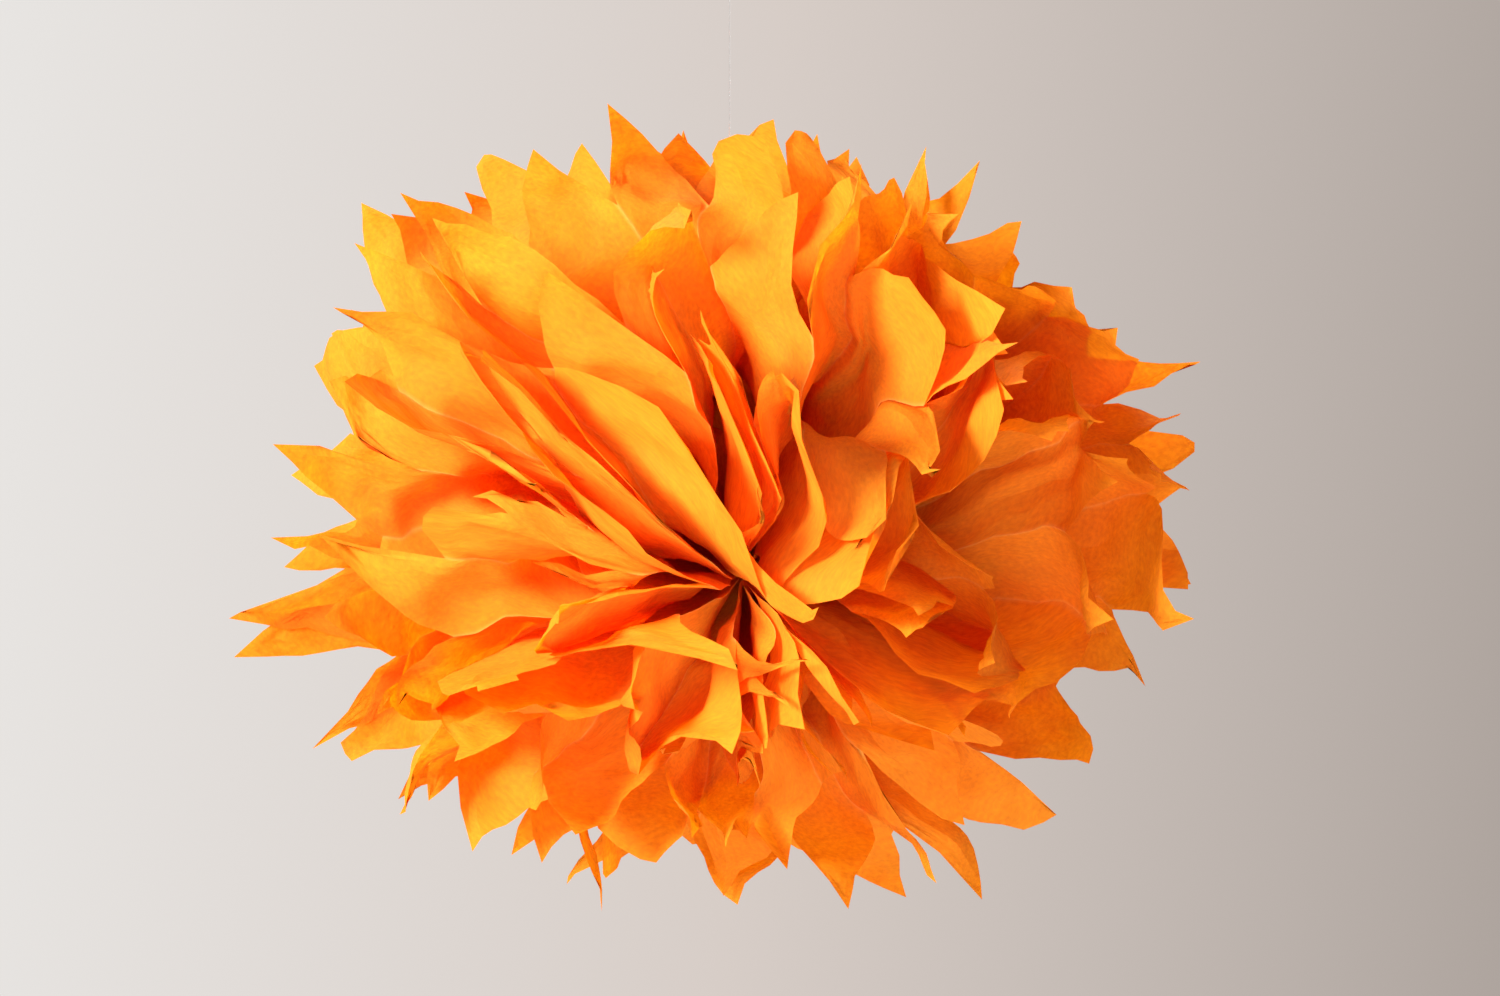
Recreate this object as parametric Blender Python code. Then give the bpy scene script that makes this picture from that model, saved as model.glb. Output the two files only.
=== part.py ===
"""Tissue paper pom pom, hung on a clear nylon line.

Ten sheets of tissue are laid on each other, folded like an accordion, tied round the middle
and trimmed to points.  Then five sheets are lifted to the front and five to the back, so each
sheet is one folded piece with a fan at each end of its gathered neck.

Frame: +Z up, +X along the tied strip, -Y towards the front pole.  The origin is the inner top
of the loop that the pom pom hangs from.  Lengths are in metres and angles in degrees.
"""

import math
import random

import bmesh
import bpy
import numpy
from mathutils import Vector

# The paper
SHEETS_TO_FRONT = 5
SHEETS_TO_BACK = 5
PLEATS = 13
PLEAT_WIDTH = 0.039
STRIP_LENGTH = 0.381
POINT_DEPTH = 0.037
TRIM_SPREAD = 0.03
PAPER_SOLID = 0.0007
LEAST_SLANT = 0.08
STEADY_ROUNDS = 30

# The ball: how far its paper reaches, and where its first and last sheets stand
REACH_SIDE = 0.183
REACH_UP = 0.153
REACH_FRONT = 0.150
FIRST_TILT = 13.5
LAST_TILT = 83.0
POLE_TILT = 9.0
POLE_MARGIN = 7.0
CLOSED_TILT = 33.0
SEED = 2

# How each fan opens: its spread, and how its folds wander round and to the front and back
FAN_HALF_ANGLE = 89.2
NECK_FLARE = 0.4
NECK_SHARE = 0.08
SEAM_WANDER = 14.0
SWAY = 6.0
SWAY_INSIDE = 4.0
DRIFT = 8.0
DRIFT_INSIDE = 4.0
LEAN = 2.5
LEAST_OPENING = 2.0

# How broad and bowed a pleat lies, as shares of its width, and how steep it may stand
POLE_FULLNESS = 1.32
SIDE_FULLNESS = 1.10
STEEPEST_FOLD = 40.0
STEEPEST = 2.2
LEAST_BOW = 0.02
MOST_BOW = 0.25

# How the sheets bend along their length and curl at their tips
BENDING = 9.0
BENDING_CYCLE = 0.68
BENDING_LAG = 2.2
CURL = 6.0
CURL_WANDER = 7.0
CURL_SCATTER = 4.0
TIP_SCATTER = 1.5

# The least room between two sheets, and beside the line
LAYER_GAP = 0.0034
HALF_GAP = 0.0016

# The slow bends that all sheets share: long and short ones
LONG_BEND_SPAN = 0.16
LONG_BEND_HEIGHT = 0.012
SHORT_BEND_SPAN = 0.075
SHORT_BEND_HEIGHT = 0.0055
BEND_WAVES = 8
BEND_SEED = 17
LINE_CLEARING = 0.035
BENDS_START = 0.03
BENDS_FULL = 0.11

# The gathered neck and its tie
NECK_RADIUS = 0.0095
NECK_HALF_LENGTH = 0.004
NECK_PITCH = 0.0017
BEND_SHARE = 0.30
WIRE_DIAMETER = 0.0012
PIECE_GAP = 0.0003
TAIL_LENGTH = 0.014
TAIL_TURNS = 2.5

# The line that the pom pom hangs from
LINE_DIAMETER = 0.0005
LINE_RISE = 0.242
LOOP_HEIGHT = 0.020
LOOP_WIDTH = 0.008
KNOT_LENGTH = 0.003
KNOT_TURNS = 2.5

SHEETS = SHEETS_TO_FRONT + SHEETS_TO_BACK
FOLD_SHARE = 1 - POINT_DEPTH / (STRIP_LENGTH / 2)
RINGS = (0.0, 0.10, 0.24, 0.46, FOLD_SHARE, 1.0)
MIDDLE_RING = 3
TIP_RING = len(RINGS) - 1
COLUMNS = 2 * PLEATS + 1
AROUND = 2 * COLUMNS
RIGHT, LEFT = 1, -1
MEAN_REACH = (REACH_SIDE + REACH_UP + REACH_FRONT) / 3

# Shares of the way to the tips, from where something starts to where it has its full size
OWN_FOLDS_FROM_TO = (0.35, 0.95)
ZIGZAG_FROM_TO = (0.12, 0.6)
BENDING_FROM_TO = (0.12, 0.45)
WANDER_FROM_TO = (0.25, 1.0)
CURL_FROM_TO = (0.55, 1.05)

# The tie and the line from it to the hook
TIE_RADIUS = NECK_RADIUS + PIECE_GAP + WIRE_DIAMETER / 2
HITCH_RADIUS = WIRE_DIAMETER / 2 + PIECE_GAP + LINE_DIAMETER / 2
HANG_DROP = TIE_RADIUS + HITCH_RADIUS + LINE_RISE - LINE_DIAMETER / 2

# The edges of one pleat that cross from each ring to the next: (column here, column there)
CROSSINGS = (
    ((0, 0), (0, 2), (2, 2)),
    ((0, 0), (0, 2), (2, 2)),
    ((0, 0), (0, 1), (2, 1), (2, 2)),
    ((0, 0), (0, 1), (1, 1), (2, 1), (2, 2)),
    ((0, 1), (1, 1), (2, 1)),
)

# How far from each ring to the next the gaps are kept as well
LEVEL_PARTS = (0.25, 0.5, 0.75)


def smooth(value, start=0.0, end=1.0):
    """0 before start, 1 after end and an eased rise between them."""
    share = min(1.0, max(0.0, (value - start) / (end - start)))
    return share * share * (3 - 2 * share)


def off_poles(tilt):
    """Eases a tilt away from the front and back poles, so that no pleat crosses them."""
    if tilt < POLE_TILT:
        return POLE_TILT * math.exp((tilt - POLE_TILT) / POLE_TILT)
    if tilt > 180 - POLE_TILT:
        return 180 - off_poles(180 - tilt)
    return tilt


def base_tilt(sheet):
    """The angle of a sheet from the front pole, before its pleats wander."""
    if sheet < SHEETS_TO_FRONT:
        step = (LAST_TILT - FIRST_TILT) / (SHEETS_TO_FRONT - 1)
        return FIRST_TILT + step * sheet
    step = (LAST_TILT - FIRST_TILT) / (SHEETS_TO_BACK - 1)
    return 180 - FIRST_TILT - step * (SHEETS - 1 - sheet)


def direction_of(azimuth, tilt):
    """Unit vector at an azimuth round the pole axis, from +X towards +Z, and a tilt from -Y."""
    around, down = math.radians(azimuth), math.radians(tilt)
    return Vector((
        math.sin(down) * math.cos(around),
        -math.cos(down),
        math.sin(down) * math.sin(around),
    ))


def reach(azimuth, tilt):
    """How far the paper reaches that way: least where it bends most on leaving the tie."""
    way = direction_of(azimuth, tilt)
    return 1 / Vector((way.x / REACH_SIDE, way.y / REACH_FRONT, way.z / REACH_UP)).length


def neck_place(sheet, column, side):
    """Where a column of the sheet leaves the tie, with the sheets side by side in the bundle."""
    depth = (sheet - (SHEETS - 1) / 2) * NECK_PITCH
    half_height = math.sqrt(NECK_RADIUS ** 2 - depth ** 2) - PAPER_SOLID
    height = half_height * (2 * column / (COLUMNS - 1) - 1)
    return Vector((side * NECK_HALF_LENGTH, depth, height))


def shared_bends():
    """The slow bends as a list of waves: way of travel, push and phase."""
    draw = numpy.random.default_rng(BEND_SEED)
    waves = []
    for span, height in ((LONG_BEND_SPAN, LONG_BEND_HEIGHT), (SHORT_BEND_SPAN, SHORT_BEND_HEIGHT)):
        for _ in range(BEND_WAVES):
            way = Vector(draw.normal(size=3)).normalized() * 2 * math.pi / span * draw.uniform(0.7, 1.2)
            push = Vector(draw.normal(size=3)).normalized() * height * draw.uniform(0.5, 1.0) * 0.5
            waves.append((way, push, draw.uniform(0, 2 * math.pi)))
    return waves


BENDS = shared_bends()


def bend_at(point):
    """How far the shared bends move a point, which grows away from the tie."""
    moved = Vector((0, 0, 0))
    for way, push, phase in BENDS:
        moved += push * math.sin(point.dot(way) + phase)
    return moved * smooth(point.length, BENDS_START, BENDS_FULL)


def bent(point):
    """A point moved by the shared bends, which leave the plane of the line clear beside it."""
    beside = math.exp(-(point.x ** 2 + point.y ** 2) / (2 * LINE_CLEARING ** 2))
    moved = bend_at(point)
    moved.y -= bend_at(Vector((0, 0, point.z))).y * beside
    return point + moved


def place(sheet, side, column, share, azimuth, tilt):
    """A point of a sheet, at a share of the way from its neck to its tips."""
    outward = direction_of(azimuth, tilt)
    bend = smooth(share, 0.0, BEND_SHARE)
    along = Vector((side, 0, 0)).lerp(outward, bend).normalized()
    neck = neck_place(sheet, column, side) * (1 - bend)
    return bent(neck + along * (reach(azimuth, tilt) * share))


def openings(draw, arc):
    """The folds of one fan as shares of the way round: some pleats broad, the rest packed."""
    weights = draw.uniform(0.05, 0.3, PLEATS)
    broad = min(PLEATS, max(3, round(0.85 * arc / PLEAT_WIDTH)))
    weights[draw.permutation(PLEATS)[:broad]] = draw.uniform(0.75, 1.0, broad)
    weights[[0, -1]] *= draw.uniform(0.15, 0.8, 2)
    least, most = 0.0, 1.0
    for _ in range(30):
        scale = (least + most) / 2
        opened = numpy.minimum(0.97 * PLEAT_WIDTH, scale * weights)
        least, most = (scale, most) if opened.sum() < arc else (least, scale)
    return numpy.concatenate([[0], numpy.cumsum(opened)]) / opened.sum()


def wave(draw):
    """Makes a slow random wave over the folds: a function of its number of cycles."""
    first, second = draw.uniform(0, 2 * math.pi, 2)
    spot = numpy.arange(PLEATS + 1) / (PLEATS + 1)

    def at(cycles):
        return 0.6 * numpy.sin(2 * math.pi * cycles * spot + first) + 0.4 * numpy.sin(
            2 * math.pi * (2 * cycles + 1) * spot + second
        )

    return at


def to_and_fro(rises, sign):
    """Heights of the folds of one fan: each pleat climbs or drops by its own rise."""
    heights = [sign * rises[0] / 2]
    for rise in rises:
        heights.append(heights[-1] - math.copysign(rise, heights[-1]))
    return numpy.array(heights) - numpy.mean(heights)


def stand_at(sheet, share):
    """The angle of a whole sheet from the front pole, at a share of the way to its tips."""
    pole = min(base_tilt(sheet), 180 - base_tilt(sheet))
    closed = min(CLOSED_TILT, math.degrees(PLEAT_WIDTH / 2 / (MEAN_REACH * max(share, NECK_SHARE))))
    nearest = max(FIRST_TILT, closed + POLE_MARGIN)
    stand = nearest + (LAST_TILT - nearest) * (pole - FIRST_TILT) / (LAST_TILT - FIRST_TILT)
    return stand if sheet < SHEETS_TO_FRONT else 180 - stand


def common_pattern(draw):
    """What all sheets share for each end of the strip: even folds, first side and bends."""
    evened = [numpy.concatenate([[0], draw.uniform(0.8, 1.2, PLEATS)]) for _ in range(2)]
    evened = [numpy.cumsum(values) / values.sum() for values in evened]
    signs = [draw.choice([-1, 1]) for _ in range(2)]
    bends = [wave(draw) for _ in range(2)]
    return [(evened[end], signs[end], bends[end]) for end in range(2)]


def fold_angles(draw, sheet, common, top, bottom):
    """Azimuth and tilt of each fold of one fan on each ring, before the sheets are parted."""
    evened, sign, bending = common
    pole = min(base_tilt(sheet), 180 - base_tilt(sheet))
    towards = 1 if sheet < SHEETS_TO_FRONT else -1
    own = openings(draw, math.pi * MEAN_REACH * math.sin(math.radians(pole)))
    sway_out, sway_mid = wave(draw), wave(draw)
    curl_wave, curls = wave(draw), draw.normal(0, CURL_SCATTER, PLEATS + 1)
    leans = draw.normal(0, LEAN, PLEATS + 1)
    drift_out, drift_mid = wave(draw), wave(draw)
    fullness = POLE_FULLNESS + (SIDE_FULLNESS - POLE_FULLNESS) * smooth(pole, FIRST_TILT, LAST_TILT)
    spread = numpy.sin(math.pi * numpy.arange(PLEATS + 1) / PLEATS)
    rows = []
    for share in reversed(RINGS):
        radius = MEAN_REACH * max(share, NECK_SHARE)
        outer, inside = smooth(share, *WANDER_FROM_TO), math.sin(math.pi * share)
        own_way = smooth(share, *OWN_FOLDS_FROM_TO)
        stand = stand_at(sheet, share)
        azimuth = bottom + (top - bottom) * (evened * (1 - own_way) + own * own_way)
        azimuth = azimuth * (NECK_FLARE + (1 - NECK_FLARE) * smooth(share, 0.0, 0.45))
        azimuth += spread * (SWAY * sway_out(2) * outer + SWAY_INSIDE * sway_mid(3) * inside * own_way)
        for i in range(1, PLEATS + 1):
            azimuth[i] = max(azimuth[i], azimuth[i - 1] + LEAST_OPENING)
        across = numpy.radians(numpy.diff(azimuth)) * radius * math.sin(math.radians(stand))
        rise = numpy.sqrt(numpy.maximum(0.0, (fullness * PLEAT_WIDTH) ** 2 - across ** 2))
        if share == RINGS[-1]:
            path = to_and_fro(numpy.degrees(rise / radius), sign)
        rise = numpy.concatenate([rise[:1], (rise[1:] + rise[:-1]) / 2, rise[-1:]])
        zigzag = numpy.degrees(rise / radius) / 2 * sign * (-1.0) ** numpy.arange(PLEATS + 1)
        zigzag = STEEPEST_FOLD * numpy.tanh(zigzag / STEEPEST_FOLD) * (1 - own_way) + path * own_way
        tilt = stand + zigzag * smooth(share, *ZIGZAG_FROM_TO) + leans * outer
        tilt += DRIFT * drift_out(2) * outer + DRIFT_INSIDE * drift_mid(2) * inside
        curl = 1 + CURL * (LAST_TILT - pole) / (LAST_TILT - FIRST_TILT) + curls
        curl += CURL_WANDER * curl_wave(3)
        tilt += towards * curl * smooth(share, *CURL_FROM_TO)
        tilt += BENDING * smooth(share, *BENDING_FROM_TO) * numpy.sin(
            2 * math.pi * share / BENDING_CYCLE + BENDING_LAG * bending(1)
        )
        rows.append([(float(a), off_poles(float(t))) for a, t in zip(azimuth, tilt)])
    return rows[::-1]


def with_middles(folds, bows, tips):
    """Adds the middle line of each pleat, bowed where the pleat has paper to spare."""
    rows = []
    for ring, folded in enumerate(folds):
        share = max(RINGS[ring], NECK_SHARE)
        row = [folded[0]]
        for i in range(PLEATS):
            (start, start_tilt), (end, end_tilt) = folded[i], folded[i + 1]
            tilt = (start_tilt + end_tilt) / 2
            squash = math.sin(math.radians(tilt))
            across, rise = (end - start) * squash, end_tilt - start_tilt
            chord = math.hypot(across, rise)
            radius = MEAN_REACH * share
            width = math.radians(chord) * radius
            spare = max(0.0, PLEAT_WIDTH - width)
            arc_rise = math.sqrt(3 / 8 * PLEAT_WIDTH * spare)
            bow = LEAST_BOW * width + min(MOST_BOW * width, arc_rise)
            bow *= bows[i] * smooth(share, *ZIGZAG_FROM_TO) * (1 - 0.6 * smooth(share, FOLD_SHARE, 1.0))
            bow = math.degrees(bow / radius)
            aside = min(0.15, max(-0.15, -bow * rise / chord / squash / (end - start)))
            tilt += bow * across / chord + tips[i] * smooth(share, *CURL_FROM_TO)
            row += [(start + (end - start) * (0.5 + aside), off_poles(tilt)), folded[i + 1]]
        rows.append(ease_steep(row))
    return rows


def ease_steep(row):
    """Evens out the places where a pleat stands too nearly on edge between two lines."""
    for _ in range(8):
        for i in range(len(row) - 1):
            (start, start_tilt), (end, end_tilt) = row[i], row[i + 1]
            squash = math.sin(math.radians((start_tilt + end_tilt) / 2))
            over = abs(end_tilt - start_tilt) - STEEPEST * (end - start) * squash
            if over > 0:
                move = math.copysign(over / 2, end_tilt - start_tilt)
                row[i], row[i + 1] = (start, start_tilt + move), (end, end_tilt - move)
    return row


def around_key(side, column):
    """The place of a column in the closed round of both fans, by rising azimuth."""
    return column if side == RIGHT else AROUND - 1 - column


def ring_columns(ring):
    """The columns that a fan has on a ring."""
    if ring == TIP_RING:
        return range(1, COLUMNS, 2)
    return range(COLUMNS) if ring >= MIDDLE_RING else range(0, COLUMNS, 2)


def levels_of_fan():
    """Each level of a fan as points, each a mix of one or two corners: (ring, column, part)."""
    levels = []
    for ring in range(1, len(RINGS)):
        levels.append([((ring, column, 1.0),) for column in ring_columns(ring)])
        for part in LEVEL_PARTS if ring < TIP_RING else ():
            level = []
            for first in range(0, COLUMNS - 1, 2):
                for here, there in CROSSINGS[ring]:
                    low, high = (ring, first + here, 1 - part), (ring + 1, first + there, part)
                    if (low, high) not in level:
                        level.append((low, high))
            levels.append(level)
    return levels


def closed_level(level, azimuths):
    """The points of a level over both fans of one sheet: azimuth and weighted corner keys."""
    points = []
    for side in (RIGHT, LEFT):
        for corners in level:
            mix = [(ring * AROUND + around_key(side, column), part) for ring, column, part in corners]
            points.append((sum(azimuths[key] * part for key, part in mix), mix))
    return sorted(points)


def weights_at(points, azimuth):
    """The corner weights that give the tilt of a closed level at an azimuth."""
    azimuth = (azimuth - points[0][0]) % 360 + points[0][0]
    low, high = 0, len(points)
    while high - low > 1:
        middle = (low + high) // 2
        low, high = (middle, high) if points[middle][0] <= azimuth else (low, middle)
    after = (low + 1) % len(points)
    span = (points[after][0] - points[low][0]) % 360 or 1.0
    share = min(1.0, (azimuth - points[low][0]) / span)
    return [(key, weight * (1 - share)) for key, weight in points[low][1]] + [
        (key, weight * share) for key, weight in points[after][1]
    ]


def gap_rules(azimuths):
    """Every place where one sheet must keep its gap to the next: (front, behind, least gap)."""
    rules = []
    for level in levels_of_fan():
        mean_share = sum(RINGS[ring] * part for ring, _, part in level[0])
        layers = [closed_level(level, azimuths[sheet]) for sheet in range(SHEETS)]
        for sheet in range(SHEETS - 1):
            radius = reach(0, base_tilt(sheet)) * mean_share
            gap = math.degrees(LAYER_GAP / radius)
            for azimuth, weights in layers[sheet]:
                behind = weights_at(layers[sheet + 1], azimuth)
                rules.append((sheet, weights, behind, gap))
            for azimuth, weights in layers[sheet + 1]:
                before = weights_at(layers[sheet], azimuth)
                rules.append((sheet, before, weights, gap))
    return rules


def limit(tilts, sheet):
    """Keeps the two middle sheets off the plane of the line, and all sheets off the poles."""
    for key, tilt in enumerate(tilts[sheet]):
        share = max(RINGS[1], RINGS[key // AROUND])
        clear = math.degrees(HALF_GAP / (REACH_FRONT * share))
        lowest = 2.0 if sheet < SHEETS_TO_FRONT else 90 + clear
        highest = 90 - clear if sheet < SHEETS_TO_FRONT else 178.0
        tilts[sheet][key] = min(highest, max(lowest, tilt))


def part_sheets(azimuths, tilts, rounds=200):
    """Moves touching sheets apart until each keeps its gap to the next."""
    rules = gap_rules(azimuths)
    for _ in range(rounds):
        most = 0.0
        for sheet, front, behind, gap in rules:
            near, far = tilts[sheet], tilts[sheet + 1]
            short = gap + sum(near[k] * w for k, w in front) - sum(far[k] * w for k, w in behind)
            if short <= 0.01:
                continue
            most = max(most, short)
            move = short / (sum(w * w for _, w in front) + sum(w * w for _, w in behind))
            for key, weight in front:
                near[key] -= move * weight
            for key, weight in behind:
                far[key] += move * weight
        for sheet in range(SHEETS):
            limit(tilts, sheet)
        if most < 0.03:
            break


def lay_out():
    """Azimuths and tilts of every corner: a list for each sheet, by ring and place around."""
    draw = numpy.random.default_rng(SEED)
    common = common_pattern(draw)
    folds = []
    for sheet in range(SHEETS):
        shift = draw.uniform(-SEAM_WANDER, SEAM_WANDER, 2)
        for end, side in enumerate((RIGHT, LEFT)):
            top = FAN_HALF_ANGLE + side * shift[0]
            bottom = -FAN_HALF_ANGLE + side * shift[1]
            folds.append(fold_angles(draw, sheet, common[end], top, bottom))
    bows = draw.choice([1, 1, 1, -1], (SHEETS, 2, PLEATS)) * draw.uniform(0.6, 1.2, (SHEETS, 2, PLEATS))
    bows[SHEETS_TO_FRONT:] *= -1
    tips = draw.normal(0, TIP_SCATTER, (SHEETS, 2, PLEATS))
    azimuths, tilts = [], []
    for sheet in range(SHEETS):
        sheet_azimuths = [0.0] * (AROUND * len(RINGS))
        sheet_tilts = [0.0] * (AROUND * len(RINGS))
        for end, side in enumerate((RIGHT, LEFT)):
            rows = with_middles(folds[2 * sheet + end], bows[sheet, end], tips[sheet, end])
            for ring, row in enumerate(rows):
                for column, (azimuth, tilt) in enumerate(row):
                    key = ring * AROUND + around_key(side, column)
                    sheet_azimuths[key] = azimuth if side == RIGHT else 180 - azimuth
                    sheet_tilts[key] = float(tilt)
        azimuths.append(sheet_azimuths)
        tilts.append(sheet_tilts)
    part_sheets(azimuths, tilts)
    return azimuths, tilts


def add_corner(mesh, through_layer, sheet, side, column, ring, azimuth, tilt, share):
    """Adds one corner of a sheet, and notes the way in which its thickness is measured."""
    here = place(sheet, side, column, share, azimuth, tilt)
    if ring:
        down = place(sheet, side, column, share, azimuth, tilt + 1) - here
    else:
        down = Vector((0, 1, 0))
    through = Vector((0, 1, 0)).lerp(down.normalized(), smooth(share, 0.0, BEND_SHARE))
    corner = mesh.verts.new(here)
    corner[through_layer] = through.normalized()
    return corner


def sheet_surface(mesh, through_layer, sheet, azimuths, tilts):
    """The front side of a folded sheet: its neck, both fans and their trimmed points."""
    trim = random.Random(SEED + 1 + sheet)
    corners = {}
    for side in (RIGHT, LEFT):
        for ring, share in enumerate(RINGS):
            for column in ring_columns(ring):
                key = ring * AROUND + around_key(side, column)
                cut = 1 + trim.uniform(-TRIM_SPREAD, TRIM_SPREAD) if ring == TIP_RING else 1
                corners[side, ring, column] = add_corner(
                    mesh, through_layer, sheet, side, column, ring,
                    azimuths[key], tilts[key], share * cut,
                )
        for ring, crossing in enumerate(CROSSINGS):
            for first in range(0, COLUMNS - 1, 2):
                for (here, there), (next_here, next_there) in zip(crossing, crossing[1:]):
                    face = [
                        corners[side, ring, first + here],
                        corners[side, ring + 1, first + there],
                        corners[side, ring + 1, first + next_there],
                        corners[side, ring, first + next_here],
                    ]
                    mesh.faces.new(list(dict.fromkeys(face)))
    for column in range(0, COLUMNS - 1, 2):
        mesh.faces.new((
            corners[LEFT, 0, column],
            corners[LEFT, 0, column + 2],
            corners[RIGHT, 0, column + 2],
            corners[RIGHT, 0, column],
        ))


def steady_thickness(mesh, through_layer):
    """Turns the way of each corner's thickness until it leaves every face round it."""
    bmesh.ops.triangulate(mesh, faces=[face for face in mesh.faces if len(face.verts) > 3])
    bmesh.ops.recalc_face_normals(mesh, faces=mesh.faces[:])
    if sum(face.normal.dot(face.verts[0][through_layer]) for face in mesh.faces) < 0:
        bmesh.ops.reverse_faces(mesh, faces=mesh.faces[:])
    mesh.normal_update()
    for _ in range(STEADY_ROUNDS):
        for corner in mesh.verts:
            way = corner[through_layer].copy()
            for face in corner.link_faces:
                way += face.normal * max(0.0, LEAST_SLANT - face.normal.dot(way))
            corner[through_layer] = way.normalized()
    for corner in mesh.verts:
        corner.co -= corner[through_layer] * PAPER_SOLID / 2


def link_object(name, data, material):
    """Puts finished data into the scene as one named piece, below the hanging point."""
    data.materials.append(material)
    piece = bpy.data.objects.new(name, data)
    piece.location.z = -HANG_DROP
    bpy.context.scene.collection.objects.link(piece)


def add_sheet(sheet, azimuths, tilts, material):
    """One folded sheet of tissue as a closed thin solid."""
    mesh = bmesh.new()
    through_layer = mesh.verts.layers.float_vector.new("through")
    sheet_surface(mesh, through_layer, sheet, azimuths, tilts)
    steady_thickness(mesh, through_layer)
    grown = bmesh.ops.extrude_face_region(mesh, geom=mesh.faces[:])
    for item in grown["geom"]:
        if isinstance(item, bmesh.types.BMVert):
            item.co += item[through_layer] * PAPER_SOLID
    bmesh.ops.triangulate(mesh, faces=[f for f in mesh.faces if len(f.verts) > 3])
    bmesh.ops.recalc_face_normals(mesh, faces=mesh.faces[:])
    if sheet < SHEETS_TO_FRONT:
        name = f"tissue_sheet_front_{sheet + 1}"
    else:
        name = f"tissue_sheet_back_{SHEETS - sheet}"
    data = bpy.data.meshes.new(name)
    mesh.to_mesh(data)
    mesh.free()
    link_object(name, data, material)


def add_tube(name, points, diameter, material):
    """A round wire or line along a route, closed at both ends."""
    data = bpy.data.curves.new(name, "CURVE")
    data.dimensions = "3D"
    data.resolution_u = 1
    data.render_resolution_u = 0
    data.bevel_depth = diameter / 2
    data.bevel_resolution = 2
    data.use_fill_caps = True
    spline = data.splines.new("POLY")
    spline.points.add(len(points) - 1)
    for spot, point in zip(spline.points, points):
        spot.co = (*point, 1)
    link_object(name, data, material)


def helix(start, rise, across, turns, steps):
    """Points that wind round the Z axis: from start, over a rise, beginning at across."""
    other = Vector((-across.y, across.x, 0))
    points = []
    for i in range(steps + 1):
        angle = 2 * math.pi * turns * i / steps
        around = across * math.cos(angle) + other * math.sin(angle)
        points.append(Vector((0, 0, start + rise * i / steps)) + around)
    return points


def add_tie(material):
    """The wire round the neck, with its two ends twisted together below."""
    apart = Vector((0, WIRE_DIAMETER / 2 + 0.0001, 0))
    start = -TIE_RADIUS - 0.6 * WIRE_DIAMETER
    steps = int(8 * TAIL_TURNS)
    one_end = helix(start, -TAIL_LENGTH, -apart, TAIL_TURNS, steps)
    other_end = helix(start, -TAIL_LENGTH, apart, TAIL_TURNS, steps)
    ring = []
    for i in range(23):
        angle = math.radians(-102 - 336 * i / 22)
        ring.append(Vector((0, TIE_RADIUS * math.cos(angle), TIE_RADIUS * math.sin(angle))))
    add_tube("tie_wire", one_end[::-1] + ring + other_end, WIRE_DIAMETER, material)


def line_route():
    """The whole line: knot, hitch round the tie wire, straight rise, top loop and its knot."""
    wound = Vector((LINE_DIAMETER + 0.0001, 0, 0))
    hitch_top = TIE_RADIUS + HITCH_RADIUS
    steps = int(7 * KNOT_TURNS)
    low_knot = helix(hitch_top + 0.0012, KNOT_LENGTH, wound, KNOT_TURNS, steps)
    hitch = []
    for i in range(9):
        angle = math.radians(62 - 304 * i / 8)
        hitch.append(HITCH_RADIUS * Vector((math.cos(angle), 0, math.sin(angle))))
        hitch[-1].z += TIE_RADIUS
    foot = hitch_top + LINE_RISE - LOOP_HEIGHT
    low, high = hitch_top + 0.0008, foot - 0.001
    standing = [Vector((0, 0, low + (high - low) * i / 5)) for i in range(6)]
    loop = []
    for i in range(11):
        share = (i + 0.5) / 11
        side = -LOOP_WIDTH / 2 * math.sin(2 * math.pi * share)
        loop.append(Vector((side, 0, foot + LOOP_HEIGHT * math.sin(math.pi * share))))
    high_knot = helix(foot - 0.0012, -KNOT_LENGTH, wound, KNOT_TURNS, steps)
    return low_knot[::-1] + hitch + standing + loop + high_knot


def make_material(name, colour, roughness, metallic):
    """A plain surface finish."""
    material = bpy.data.materials.new(name)
    material.use_nodes = True
    shader = material.node_tree.nodes["Principled BSDF"]
    shader.inputs["Base Color"].default_value = (*colour, 1)
    shader.inputs["Roughness"].default_value = roughness
    shader.inputs["Metallic"].default_value = metallic
    return material


def main():
    """Builds the ten sheets, the tie and the line."""
    for old in list(bpy.data.objects):
        bpy.data.objects.remove(old)
    tissue = make_material("orange_tissue", (0.95, 0.36, 0.04), 0.85, 0.0)
    wire = make_material("steel_wire", (0.62, 0.62, 0.63), 0.35, 1.0)
    nylon = make_material("clear_nylon", (0.86, 0.88, 0.90), 0.15, 0.0)
    azimuths, tilts = lay_out()
    for sheet in range(SHEETS):
        add_sheet(sheet, azimuths[sheet], tilts[sheet], tissue)
    add_tie(wire)
    add_tube("hanging_line", line_route(), LINE_DIAMETER, nylon)


if __name__ == "__main__":
    main()
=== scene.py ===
"""Orange tissue paper pom pom on a clear line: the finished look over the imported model.

Ten flat sheets are cut from a grid, folded like an accordion, gathered at the tie and opened
into petals.  Everything is in metres in the model's own frame: +Z up, +X along the tied strip,
-Y towards the side that the photograph shows.  The origin is the hanging loop.
"""

import logging
import math
from dataclasses import dataclass, field
from enum import Enum

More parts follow.
